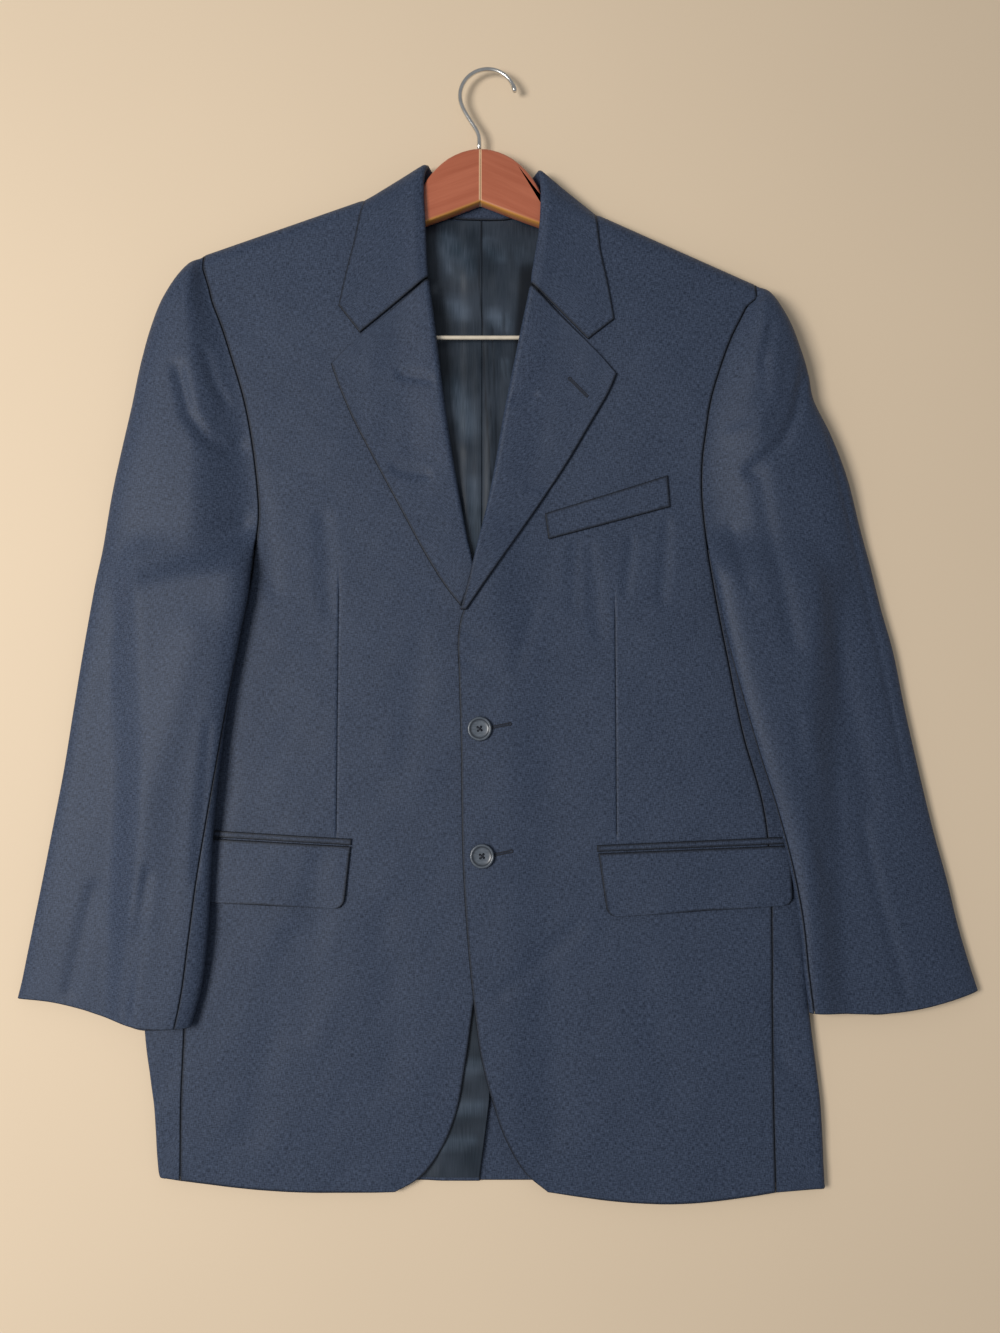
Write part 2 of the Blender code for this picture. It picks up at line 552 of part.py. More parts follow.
def collar():
    """The collar's fall and stand in one band, wrapped under the neck from gorge to gorge."""
    def section(side, row, height):
        turn = math.radians(row.turn)
        up = math.cos(turn)
        sideways = EAR_NORMAL[side] * math.sin(turn)
        normal = Vector((sideways.x, sideways.y, up))
        half = FALL_RISE / 2 + 0.1
        edge = Vector((row.edge, row.edge_y, COLLAR_WALL / 2))
        fold = Vector((row.fold, row.fold_y, 0))
        seam = Vector((row.seam, row.seam_y, 0))
        if row.turn == 0:
            edge.z = height(side * edge.x, edge.y) + FALL_RISE
            fold.z = height(side * (fold.x + 8), fold.y) + half
            seam.z = height(side * (seam.x + 4), seam.y) + 0.2
        elif row.turn <= 90:
            edge.y, edge.z = turned(side, edge.x, row.turn)
            fold.z = mix(TURN_Z, OVER_HANGER_Z + half, up)
            seam.z = mix(TURN_Z, OVER_HANGER_Z, up)
        else:
            if row.turn < 180:
                edge.y, edge.z = turned(side, edge.x, row.turn)
            fold.z = mix(TURN_Z, COLLAR_WALL + GAP / 2, -up)
            seam.z = mix(TURN_Z, COLLAR_WALL * 1.5 + GAP, -up)
        inward = (edge - fold)
        inward.z = 0
        inward.normalize()
        fall_near = fold + inward * FOLD_NEAR + normal * half
        stand_near = fold + inward * FOLD_NEAR - normal * half
        points = [edge.lerp(fall_near, share) for share in (0, 0.3, 0.6, 0.85, 1)]
        if row.turn == 0:
            for point in points[1:3]:
                point.z = height(side * point.x, point.y) + FALL_RISE
        points += [fold, stand_near, stand_near.lerp(seam, 0.5), seam]
        return [(side * p.x, p.y, p.z) for p in points]

    right, left = drape(RIGHT), drape(LEFT)
    grid = [section(RIGHT, row, right) for row in COLLAR_ROWS[RIGHT]]
    grid += [section(LEFT, row, left) for row in reversed(COLLAR_ROWS[LEFT][:-1])]
    return cloth("collar", grid, COLLAR_WALL)


def back_armhole(side, y):
    """How far out the back's armhole edge is at a height."""
    top = shoulder_y(side, SHOULDERS[side].end)
    edge = [Fold(mix(BACK_HEM_Y, shoulder_y(side, row.outer) - SHOULDER_ROUND - 2, row.share),
                 row.outer) for row in BACK_ROWS]
    edge += [Fold(at, SHOULDERS[side].end) for at in (top - SHOULDER_ROUND, top)]
    return between(edge, y, "out")


def front_armhole(side, y):
    """How far out the front's armhole edge is at a height."""
    top = shoulder_y(side, SHOULDERS[side].end)
    edge = [Fold(row.outer_y, row.outer) for row in FRONT_ROWS[side] if row.outer_y >= ARMPIT_Y]
    edge += [Fold(at, SHOULDERS[side].end) for at in (top - SHOULDER_ROUND, top)]
    return between(edge, y, "out")


def sleeve_section(side, index):
    """The flattened tube across one row: the upper face outward, then the lower face inward."""
    row = SLEEVE_ROWS[side][index]
    closed = index >= SLEEVE_ARMPIT
    half = (row.loft if closed else row.loft - row.base) * 0.42
    edge_out = row.inner if closed else front_armhole(side, row.inner_y)

    def floor_z(out, y):
        fold = between(SIDE_FOLDS[side], min(y, ARMPIT_Y), "out")
        return SLEEVE_WALL / 2 + row.base * (1 - smooth((out - fold + 2) / SLEEVE_DROP))

    def point(share, upper):
        inner = edge_out + SEAM * 2.6
        if not closed and not upper:
            inner = max(inner, back_armhole(side, row.inner_y) + SEAM * 2.6)
        out = mix(inner, row.outer, share)
        y = mix(row.inner_y, row.outer_y, share)
        rounded = math.sqrt(max(0.0, 1 - share ** 5))
        if closed:
            rounded *= math.sqrt(max(0.0, 1 - (1 - min(1.0, share / 0.16)) ** 2.4))
        low = floor_z(out, y)
        if not upper:
            rounded = min(1.0, 1.35 * rounded) if closed else math.sqrt(max(0.0, 1 - share ** 8))
            return Vector((out, y, low + half * (1 - rounded)))
        if closed:
            return Vector((out, y, low + half + (row.loft - half) * rounded))
        seam_z = body_z(side, side * (edge_out - 1), row.inner_y)
        crown = mix(seam_z, row.loft, smooth(share / 0.45))
        return Vector((out, y, low + half + (crown - low - half) * rounded))

    shares = [(1 - math.cos(math.pi * step / 60)) / 2 for step in range(61)]
    upper = [point(share, True) for share in shares]
    lower = [point(share, False) for share in reversed(shares[:-1])]
    if closed:
        lower = lower[:-1] + [upper[0]]
    return upper, lower


def spread(points, count, bend=11.0):
    """Points along a line, closer together where it bends."""
    ways = [(b - a).normalized() for a, b in zip(points, points[1:])]
    weights = [0.0]
    for index, (a, b) in enumerate(zip(points, points[1:])):
        turn = ways[index].angle(ways[index - 1]) if index else 0.0
        weights.append(weights[-1] + (b - a).length + bend * turn)
    made = []
    at = 0
    for step in range(count):
        goal = weights[-1] * step / (count - 1)
        while at < len(points) - 2 and weights[at + 1] < goal:
            at += 1
        share = (goal - weights[at]) / (weights[at + 1] - weights[at])
        made.append(points[at].lerp(points[at + 1], min(1.0, max(0.0, share))))
    return made


def cut_line(points, start, stop):
    """The part of a line between two distances along it."""
    made = []
    gone = 0.0
    for a, b in zip(points, points[1:]):
        length = (b - a).length
        for goal in (start, stop):
            if gone <= goal < gone + length:
                made.append(a.lerp(b, (goal - gone) / length))
        if start < gone + length < stop:
            made.append(b)
        gone += length
    if stop >= gone:
        made.append(points[-1])
    return made


def length_of(points):
    return sum((b - a).length for a, b in zip(points, points[1:]))


def seam_distances(side, index):
    """Along the section from the inner fold: the front seam, and the seam underneath."""
    row = SLEEVE_ROWS[side][index]
    upper, lower = sleeve_section(side, index)
    width = row.outer - row.inner
    front_seam = row.seam * width * 1.05
    share = BACK_SLEEVE_SEAM * smooth((index - UNDER_TOP + 2.5) / 6)
    return front_seam, length_of(upper) + length_of(lower) * (1 - share)


def top_sleeve(side):
    """The top sleeve: the whole face, round the outer fold, to the seam underneath."""
    grid = []
    for index in range(len(SLEEVE_ROWS[side])):
        upper, lower = sleeve_section(side, index)
        whole = upper + lower
        start, stop = seam_distances(side, index)
        if index < UNDER_TOP:
            stop = length_of(whole)
        if index >= SLEEVE_ARMPIT:
            start += SEAM * 2
        line = spread(cut_line(whole, start, stop - SEAM), TOP_SLEEVE_COLUMNS)
        grid.append([(side * p.x, p.y, p.z) for p in line])
    return cloth("top_sleeve_" + SIDE_NAMES[side], grid, SLEEVE_WALL)


def under_sleeve(side):
    """The under sleeve: from the seam underneath, round the inner fold, to the front seam."""
    grid = []
    for index in range(UNDER_TOP, len(SLEEVE_ROWS[side])):
        upper, lower = sleeve_section(side, index)
        whole = upper + lower
        end, start = seam_distances(side, index)
        line = cut_line(whole, start + SEAM, length_of(whole) - SEAM * 2)
        if index >= SLEEVE_ARMPIT and end > SEAM * 4:
            line = cut_line(whole, start + SEAM, length_of(whole))
            line += cut_line(whole, 0.0, end - SEAM * 2)[1:]
        line = spread(line, UNDER_SLEEVE_COLUMNS)
        grid.append([(side * p.x, p.y, p.z) for p in line])
    return cloth("under_sleeve_" + SIDE_NAMES[side], grid, SLEEVE_WALL)


def strip(name):
    """A flap or welt made from the points of the front under it, moved out."""
    spec = STRIPS[name]
    height = drape(spec.side)
    near_top, far_top = Vector(spec.near_top), Vector(spec.far_top)
    near_low, far_low = Vector(spec.near_low), Vector(spec.far_low)
    grid = []
    rows = 4 if spec.wall > 1.5 else 2
    for r in range(rows):
        line = []
        for c in range(spec.columns):
            share = c / (spec.columns - 1)
            at = near_top.lerp(far_top, share).lerp(near_low.lerp(far_low, share), r / (rows - 1))
            x = spec.side * at.x
            line.append((x, at.y, height(x, at.y) + spec.rise))
        grid.append(line)
    return cloth(name, grid, spec.wall)


def button(name):
    """A turned button with a raised rim and four holes."""
    x, y = BUTTON_PLACES[name]
    r, t = BUTTON_RADIUS, BUTTON_THICK
    profile = [(0, 0), (r * 0.7, 0), (r * 0.94, t * 0.3), (r, t * 0.62), (r * 0.93, t),
               (r * 0.82, t * 0.98), (r * 0.74, t * 0.72), (0, t * 0.68)]
    bm = bmesh.new()
    edge = [bm.verts.new((out * MM, 0, z * MM)) for out, z in profile]
    edges = [bm.edges.new(pair) for pair in zip(edge, edge[1:])]
    bmesh.ops.spin(bm, geom=edge + edges, cent=(0, 0, 0), axis=(0, 0, 1), angle=math.tau,
                   steps=28, use_merge=True)
    bmesh.ops.remove_doubles(bm, verts=bm.verts, dist=1e-6)
    bmesh.ops.recalc_face_normals(bm, faces=bm.faces)
    mesh = bpy.data.meshes.new(name)
    bm.to_mesh(mesh)
    bm.free()
    mesh.shade_smooth()
    obj = new_object(name, mesh, "button")
    base_z = body_z(LEFT, x, y) + FRONT_WALL / 2 + GAP
    obj.location = Vector((x, y, base_z)) * MM
    for index in range(4):
        turn = math.radians(45 + 90 * index)
        bpy.ops.mesh.primitive_cylinder_add(
            vertices=10, radius=BUTTON_HOLE_RADIUS * MM, depth=4 * t * MM,
            location=Vector((x + BUTTON_HOLE_OUT * math.cos(turn),
                             y + BUTTON_HOLE_OUT * math.sin(turn), base_z)) * MM)
        cutter = bpy.context.object
        cutter.name = f"{name}_hole_{index}"
        cutter.hide_render = True
        cutter.display_type = "WIRE"
        cut = obj.modifiers.new(f"hole_{index}", "BOOLEAN")
        cut.operation = "DIFFERENCE"
        cut.object = cutter
    return obj


def arm_line(side, out, below):
    """A point along the arm, that far below the shoulder line."""
    return out, shoulder_y(side, out) - below


def wood_outline(side):
    """Half of the hanger's outline (out, y): arched neck, sloping arm, round end, lower edge."""
    neck = [(GAP / 2, 839.8), (9, 839), (21, 834.8), (32.5, 827), (41, 818), (47, 809),
            (50.5, 801), (55, 791)]
    arm_top = [arm_line(side, out, 19) for out in (64, 80, 100, 140, 178, 196)]
    end = [arm_line(side, WOOD_HALF_SPAN - 3, 21.5), arm_line(side, WOOD_HALF_SPAN, 29),
           arm_line(side, WOOD_HALF_SPAN - 4, 37), arm_line(side, 196, 41)]
    arm_low = [arm_line(side, out, 43 - (out - 96) * 0.02) for out in (184, 130, 96)]
    return neck + arm_top + end + arm_low + [(49, 775.5), (GAP / 2, 794.6)]


def hanger_arm(side):
    """One half of the hanger, cut from a board and bevelled all round."""
    name = "hanger_arm_" + SIDE_NAMES[side]
    bm = bmesh.new()
    low = [bm.verts.new(Vector((side * out, y, WOOD_LOW_Z)) * MM)
           for out, y in wood_outline(side)]
    face = bm.faces.new(low)
    raised = bmesh.ops.extrude_face_region(bm, geom=[face])
    lift = Vector((0, 0, WOOD_HIGH_Z - WOOD_LOW_Z)) * MM
    top = [item for item in raised["geom"] if isinstance(item, bmesh.types.BMVert)]
    bmesh.ops.translate(bm, verts=top, vec=lift)
    bmesh.ops.recalc_face_normals(bm, faces=bm.faces)
    mesh = bpy.data.meshes.new(name)
    bm.to_mesh(mesh)
    bm.free()
    obj = new_object(name, mesh, "wood")
    bevel = obj.modifiers.new("bevel", "BEVEL")
    bevel.width = WOOD_BEVEL * MM
    bevel.segments = 2
    bevel.limit_method = "ANGLE"
    bevel.angle_limit = math.radians(50)
    return obj


def wire(name, points, diameter, tip=1.0):
    """A round wire through points (x, y) at the middle height of the wood, closed at its ends."""
    path = [Vector(point) for point in points]
    ways = [(b - a).normalized() for a, b in zip(path, path[1:])]
    rings = []
    for index, at in enumerate(path):
        before, after = ways[max(index - 1, 0)], ways[min(index, len(ways) - 1)]
        way = (before + after).normalized()
        across = Vector((-way.y, way.x)) / max(way.dot(before), 0.7)
        radius = diameter / 2 * (tip if index >= len(path) - 2 else 1.0)
        ring = []
        for step in range(WIRE_SIDES):
            turn = math.tau * step / WIRE_SIDES
            flat = at + across * radius * math.cos(turn)
            ring.append(Vector((flat.x, flat.y, WIRE_Z + radius * math.sin(turn))) * MM)
        rings.append(ring)
    faces = []
    for index in range(len(rings) - 1):
        for step in range(WIRE_SIDES):
            a, b = index * WIRE_SIDES + step, index * WIRE_SIDES + (step + 1) % WIRE_SIDES
            faces.append((a, b, b + WIRE_SIDES, a + WIRE_SIDES))
    faces.append(tuple(range(WIRE_SIDES)))
    faces.append(tuple(range((len(rings) - 1) * WIRE_SIDES, len(rings) * WIRE_SIDES)))
    mesh = bpy.data.meshes.new(name)
    mesh.from_pydata([point for ring in rings for point in ring], [], faces)
    bm = bmesh.new()
    bm.from_mesh(mesh)
    bmesh.ops.recalc_face_normals(bm, faces=bm.faces)
    bm.to_mesh(mesh)
    bm.free()
    mesh.shade_smooth()
    return new_object(name, mesh, "steel")


def hook():
    """Shank, an ogee bend to the left, and the hook's arc round to its tip."""
    points = [(SHANK_X, SHANK_LOW), (SHANK_X, SHANK_HIGH - 6)]
    start = math.radians(202)
    first = HOOK_CENTRE + HOOK_RADIUS * Vector((math.cos(start), math.sin(start)))
    down = Vector((-math.sin(start), math.cos(start)))
    low = Vector((SHANK_X, SHANK_HIGH - 3))
    for step in range(1, 8):
        t = step / 8
        bezier = [low, low + Vector((0, 9)), first + down * 15, first]
        a, b, c, d = bezier
        at = a * (1 - t) ** 3 + b * 3 * t * (1 - t) ** 2 + c * 3 * t * t * (1 - t) + d * t ** 3
        points.append(tuple(at))
    for degrees in range(202, 4, -9):
        angle = math.radians(degrees)
        points.append(tuple(HOOK_CENTRE + HOOK_RADIUS * Vector((math.cos(angle), math.sin(angle)))))
    return wire("hanger_hook", points, HOOK_WIRE, tip=1.2)


def trouser_bar():
    """The rod across the hanger, bent up at both ends to meet the arms."""
    halves = []
    for side in (RIGHT, LEFT):
        points = [(side * BAR_HALF, arm_line(side, BAR_HALF, 43)[1] + 0.4)]
        for degrees in range(180, 271, 30):
            angle = math.radians(degrees)
            out = BAR_HALF - BAR_BEND - BAR_BEND * math.cos(angle)
            points.append((side * out, BAR_Y + BAR_BEND + BAR_BEND * math.sin(angle)))
        halves.append(points)
    return wire("trouser_bar", halves[0] + halves[1][::-1], BAR_WIRE)


def rest_on_floor():
    """Moves everything so that the middle of its box is over the origin, on z = 0."""
    bpy.context.view_layer.update()
    graph = bpy.context.evaluated_depsgraph_get()
    shown = [obj for obj in bpy.context.scene.objects if not obj.hide_render]
    corners = [obj.evaluated_get(graph).matrix_world @ Vector(corner)
               for obj in shown for corner in obj.evaluated_get(graph).bound_box]
    low = Vector([min(c[axis] for c in corners) for axis in range(3)])
    high = Vector([max(c[axis] for c in corners) for axis in range(3)])
    shift = Vector((-(low.x + high.x) / 2, -(low.y + high.y) / 2, -low.z))
    for obj in bpy.context.scene.objects:
        obj.location += shift
    print("shift_mm", [round(v / MM, 2) for v in shift])


def build():
    for obj in list(bpy.data.objects):
        bpy.data.objects.remove(obj)
    for side in (RIGHT, LEFT):
        back(side)
        lining(side)
        side_panel(side)
        front(side)
        lapel(side)
        top_sleeve(side)
        under_sleeve(side)
        hanger_arm(side)
    collar()
    for name in STRIPS:
        strip(name)
    for name in BUTTON_PLACES:
        button(name)
    hook()
    trouser_bar()
    rest_on_floor()


build()
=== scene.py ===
import math
import bmesh
import bpy
import numpy as np
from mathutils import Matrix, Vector


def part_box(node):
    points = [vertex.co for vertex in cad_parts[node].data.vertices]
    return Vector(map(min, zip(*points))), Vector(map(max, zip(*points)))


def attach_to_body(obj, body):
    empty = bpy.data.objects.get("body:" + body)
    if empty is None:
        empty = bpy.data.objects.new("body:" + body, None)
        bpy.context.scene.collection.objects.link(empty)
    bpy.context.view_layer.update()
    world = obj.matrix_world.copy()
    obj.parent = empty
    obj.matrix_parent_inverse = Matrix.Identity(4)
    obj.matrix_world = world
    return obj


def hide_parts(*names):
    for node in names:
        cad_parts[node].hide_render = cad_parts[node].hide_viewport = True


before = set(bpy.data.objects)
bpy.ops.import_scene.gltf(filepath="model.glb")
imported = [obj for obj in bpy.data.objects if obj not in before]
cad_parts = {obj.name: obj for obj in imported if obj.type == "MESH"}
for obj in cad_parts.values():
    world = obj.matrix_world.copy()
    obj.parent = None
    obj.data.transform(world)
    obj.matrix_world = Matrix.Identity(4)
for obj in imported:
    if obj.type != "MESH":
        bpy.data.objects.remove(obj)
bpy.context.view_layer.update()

# Sizes are in millimetres on the jacket: out from the centre front, y up from the back hem,
# z up from the floor. right is the wearer's right, at -X.
mm = 0.001
right, left = -1, 1
ends = {right: "Right", left: "Left"}
cadEnds = {right: "_right", left: "_left"}
buttonPlaces = {"button_upper": (0.0, 358.0), "button_lower": (2.0, 256.5)}

low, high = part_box("button_upper")
shift = np.array([(low[0] + high[0]) / 2 / mm - buttonPlaces["button_upper"][0],
                  (low[1] + high[1]) / 2 / mm - buttonPlaces["button_upper"][1], 0.0])

cloth = {
    "backWall": 1.5, "frontWall": 2.4, "sleeveWall": 1.5, "lapelWall": 2.2, "collarWall": 1.6,
    "liningWall": 0.7,
    "step": 3.6,        # spacing of the mesh on open cloth
    "seam": 0.06,       # half of the clearance at a seam
    "seamRound": 0.9,   # how far the cloth rolls down at a seam
    "ripple": 0.3,      # unevenness of the pressed wool
    "gap": 0.3,         # air between two layers
}
level = {
    "centre": 6.0, "side": 8.0, "overHanger": 18.1, "shoulderSeam": 6.0, "back": 0.75,
    "lining": 1.6, "collarLift": 1.9, "overlap": 2.7, "flap": 2.4, "lapel": 3.0, "fall": 2.45,
}
shoulders = {
    right: {"out": 96.0, "y": 798.0, "slope": 0.361, "overArm": 66.0, "end": 228.0},
    left: {"out": 95.0, "y": 786.0, "slope": 0.4615, "overArm": 48.0, "end": 227.0},
}
neckOut, shoulderRound, chestFade, armpitY = 61.0, 15.0, 190.0, 504.0


# Shaping helpers

def ease(t):
    t = np.clip(t, 0.0, 1.0)
    return t * t * (3 - 2 * t)


def mix(a, b, t):
    return a + (b - a) * t


def roundOff(depth, radius):
    # 0 on the flat, 1 at the very edge of a rounded turn
    into = np.clip((radius - depth) / radius, 0.0, 1.0)
    return 1 - np.sqrt(1 - into * into)


def alongPath(points):
    return np.concatenate([[0.0], np.cumsum(np.linalg.norm(np.diff(points, axis=0), axis=1))])


def pick(points, at):
    # the points of a line at these distances along it
    gone = alongPath(points)
    return np.stack([np.interp(at, gone, points[:, axis]) for axis in range(points.shape[1])], 1)


def places(length, count, near, far):
    # positions along a length, crowded inside the rounding at both ends
    crowd = np.array([0, 0.1, 0.35, 0.75, 1.3, 2.2])
    room = min(1.0, length / (6 * (near + far)))
    first, last = crowd * near * room, crowd * far * room
    middle = np.linspace(first[-1], length - last[-1], max(count - 10, 3))
    return np.concatenate([first[:-1], middle, (length - last[:-1])[::-1]])


class Curve:
    # a smooth line through the rows of a table, measured along the longer of its edges
    def __init__(self, rows, edges, corners=()):
        self.rows = np.array(rows, float)
        steps = np.diff(self.rows, axis=0)
        gap = np.max([np.hypot(steps[:, a], steps[:, b]) for a, b in edges], axis=0)
        self.knots = np.concatenate([[0.0], np.cumsum(gap)])
        slope = steps / gap[:, None]
        before, after = np.vstack([slope[:1], slope]), np.vstack([slope, slope[-1:]])
        back, on = np.append(gap[0], gap)[:, None], np.append(gap, gap[-1])[:, None]
        self.arrive = (before * on + after * back) / (back + on)
        self.leave = self.arrive.copy()
        for corner in corners:
            self.arrive[corner], self.leave[corner] = before[corner], after[corner]

    def at(self, distance):
        distance = np.atleast_1d(distance)
        i = np.clip(np.searchsorted(self.knots, distance, "right") - 1, 0, len(self.rows) - 2)
        gap = (self.knots[i + 1] - self.knots[i])[:, None]
        t = (distance[:, None] - self.knots[i][:, None]) / gap
        return ((2 * t**3 - 3 * t**2 + 1) * self.rows[i] + (t**3 - 2 * t**2 + t) * gap * self.leave[i]
                + (3 * t**2 - 2 * t**3) * self.rows[i + 1] + (t**3 - t**2) * gap * self.arrive[i + 1])


def crease(x, y, path, width, depth):
    # a soft trough, or a ridge where depth is negative, along a bent line
    path = np.array(path, float)
    near = np.full(np.shape(x), 1e9)
    for a, b in zip(path, path[1:]):
        way = b - a
        t = np.clip(((x - a[0]) * way[0] + (y - a[1]) * way[1]) / (way @ way), 0, 1)
        taper = 1 + 2.2 * np.abs(t - 0.5) ** 3 if len(path) == 2 else 1.0
        near = np.minimum(near, np.hypot(x - a[0] - t * way[0], y - a[1] - t * way[1]) * taper)
    q = (near / width) ** 2
    return -depth * (1 - 0.55 * q) * np.exp(-q)


# The body's own shape, which every layer on it follows

bodyCreases = {
    right: [
        ([(-140, 120), (-128, 250)], 16, 0.9), ([(-70, 80), (-76, 210)], 20, 0.8),
        ([(-180, 40), (-150, 190)], 18, 0.9), ([(-60, 330), (-48, 430)], 14, 0.7),
        ([(-128, 528), (-122, 455)], 11, 1.2), ([(-168, 470), (-182, 560)], 12, 1.0),
        ([(-200, 330), (-212, 250)], 10, 0.8),
    ],
    left: [
        ([(78, 508), (76, 455)], 6, 1.2), ([(90, 505), (97, 432)], 7, 1.2),
        ([(124, 512), (119, 470)], 6, 1.1), ([(153, 526), (148, 462)], 7, 1.1),
        ([(44, 455), (30, 408)], 7, 1.2), ([(16, 147), (78, 200)], 9, 1.0),
        ([(-16, 438), (-3, 434)], 3.6, 1.0), ([(-16, 414), (-5, 411)], 3.2, 1.0),
        ([(150, 60), (128, 180)], 18, 0.7), ([(60, 40), (52, 170)], 20, 0.7),
        ([(238, 182), (250, 168)], 5, 1.0), ([(236, 100), (262, 70)], 7, 1.2),
        ([(232, 150), (240, 90)], 9, 0.8),
    ],
}


def shoulderY(side, out, fullFrom=88.0, within=12.0):
    line = shoulders[side]
    drop = 4 * (1 - ease((out - fullFrom) / within)) + 4 * (1 - ease((out - neckOut) / 16))
    return line["y"] - line["slope"] * (out - line["out"]) - drop


def unevenness(side, x, y):
    wave = (np.sin(x * 0.061 + y * 0.017 + side) * np.sin(y * 0.043 - x * 0.012)
            + 0.6 * np.sin(x * 0.113 - y * 0.031 + 2 * side) * np.sin(y * 0.081 + 1.3)
            + 0.35 * np.sin(x * 0.21 + y * 0.06) * np.sin(y * 0.17 - x * 0.05 + side))
    z = cloth["ripple"] * wave
    for path, width, depth in bodyCreases[side]:
        z = z + crease(x, y, path, width, depth)
    return z


def bodyZ(side, x, y):
    # the middle of a front: over the back at the waist, up over the hanger's arms
    out = np.maximum(side * x, 0.0)
    low = mix(level["centre"], level["side"], ease(out / 200))
    below = shoulderY(side, out) - y
    rise = ease(1 - (below - shoulders[side]["overArm"]) / chestFade)
    z = mix(low, level["overHanger"], rise)
    z = z - (level["overHanger"] - level["shoulderSeam"] - cloth["gap"]) * roundOff(below, shoulderRound)
    if side == left:   # over the right front, and over the right lapel's tip
        z = z + level["overlap"] * (1 - ease((x - 20) / 40)) * (1 - ease((y - 500) / 60))
        tip = ease((y - 412) / 30) * (1 - ease((y - 500) / 45))
        z = z + 2.7 * (1 - ease((x - 8) / 30)) * tip
    return z + unevenness(side, x, y) * ease((below - 12) / 60)


# Building a closed thin mesh from the middle of a cloth

def newObject(name, points, faces, material):
    mesh = bpy.data.meshes.new(name)
    mesh.from_pydata(((points + shift) * mm).tolist(), [], faces)
    mesh.shade_smooth()
    mesh.materials.append(material)
    made = bpy.data.objects.new(name, mesh)
    bpy.context.scene.collection.objects.link(made)
    return made


def store(mesh, name, values):
    # one number or one vector for each point of the mesh
    kind, field = ("FLOAT", "value") if values.ndim == 1 else ("FLOAT_VECTOR", "vector")
    made = mesh.attributes.new(name, kind, "POINT")
    made.data.foreach_set(field, values.astype(np.float32).ravel())


def placesOf(mesh):
    # where the mesh's points are on the jacket
    flat = np.zeros(len(mesh.vertices) * 3)
    mesh.vertices.foreach_get("co", flat)
    return flat.reshape(-1, 3) / mm - shift


def gridNormals(grid):
    across = np.cross(np.gradient(grid, axis=0), np.gradient(grid, axis=1))
    return across / np.maximum(np.linalg.norm(across, axis=2, keepdims=True), 1e-9)


def edgeDistance(grid):
    # how far each point is from the first and last column and the first and last row
    side = np.concatenate([np.zeros((len(grid), 1)),
                           np.cumsum(np.linalg.norm(np.diff(grid, axis=1), axis=2), axis=1)], 1)
    up = np.concatenate([np.zeros((1, grid.shape[1])),
                         np.cumsum(np.linalg.norm(np.diff(grid, axis=0), axis=2), axis=0)], 0)
    return side, side[:, -1:] - side, up, up[-1:] - up


def shell(name, grid, wall, rounds, material, grain, nearSeam=None):
    # rounds: the rounding at the first column, last column, first row and last row
    grid = np.array(grid, float)
    rows, columns = grid.shape[:2]
    normal = gridNormals(grid)
    away = edgeDistance(grid)
    full = np.ones((rows, columns))
    for distance, radius in zip(away, rounds):
        into = np.clip(1 - distance / radius, 0, 1)
        full = np.minimum(full, np.sqrt(np.maximum(1 - into * into, 0)))
    offset = normal * (wall / 2 * full)[:, :, None]
    index = np.arange(rows * columns).reshape(rows, columns)
    under = index.copy()
    inner = np.zeros((rows, columns), bool)
    inner[1:-1, 1:-1] = True
    under[inner] = rows * columns + np.arange(inner.sum())
    points = np.concatenate([(grid + offset).reshape(-1, 3), (grid - offset)[inner]])
    points[:, 2] = np.maximum(points[:, 2], 0.0)

    def quads(sheet, flip):
        corners = [sheet[:-1, :-1], sheet[1:, :-1], sheet[1:, 1:], sheet[:-1, 1:]]
        quad = np.stack([c.ravel() for c in corners], 1)
        return quad[:, ::-1] if flip else quad

    faces = np.concatenate([quads(index, False), quads(under, True)]).tolist()
    flatGrain = np.concatenate([grain.reshape(-1, 2), grain[inner]])
    flatGrain = np.concatenate([flatGrain, np.zeros((len(flatGrain), 1))], 1)
    edge = np.minimum(np.minimum(away[0], away[1]), np.minimum(away[2], away[3]))
    if nearSeam is not None:
        edge = np.minimum(edge, nearSeam)
    edge = np.concatenate([edge.ravel(), edge[inner]])
    made = newObject(name, points, faces, material)
    store(made.data, "grain", flatGrain * mm)
    store(made.data, "toEdge", edge * mm)
    quad = np.cross(grid[1:, 1:] - grid[:-1, :-1], grid[1:, :-1] - grid[:-1, 1:])
    area = np.linalg.norm(quad, axis=2).sum() / 2
    made["cut"] = [float(away[0].max() * mm), float(away[2].max() * mm), float(area * mm * mm)]
    print(name, rows, "x", columns)
    return made


def attach(piece, nodes):
    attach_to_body(piece, "root")
    if nodes:
        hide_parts(*nodes)


# Materials

def feed(tree, socket, value):
    # a link from another node's socket, or a plain value
    if isinstance(value, bpy.types.NodeSocket):
        tree.links.new(value, socket)
    else:
        socket.default_value = value


def node(tree, kind, values=None, **settings):
    made = tree.nodes.new(kind)
    for name, value in settings.items():
        setattr(made, name, value)
    for name, value in (values or {}).items():
        feed(tree, made.inputs[name], value)
    return made


def calculate(tree, operation, *values):
    made = tree.nodes.new("ShaderNodeMath")
    made.operation = operation
    for index, value in enumerate(values):
        feed(tree, made.inputs[index], value)
    return made.outputs[0]


def weighted(tree, *parts):
    # the sum of values, each times its weight
    whole = None
    for value, weight in parts:
        part = calculate(tree, "MULTIPLY", value, weight)
        whole = part if whole is None else calculate(tree, "ADD", whole, part)
    return whole


def blendColours(tree, factor, a, b, kind="MIX"):
    made = tree.nodes.new("ShaderNodeMix")
    made.data_type, made.blend_type = "RGBA", kind
    for index, value in ((0, factor), (6, a), (7, b)):
        feed(tree, made.inputs[index], value)
    return made.outputs[2]


def newMaterial(name, **constants):
    made = bpy.data.materials.new(name)
    made.use_nodes = True
    shader = made.node_tree.nodes["Principled BSDF"]
    for socket, value in constants.items():
        shader.inputs[socket.replace("_", " ")].default_value = value
    return made, made.node_tree, shader


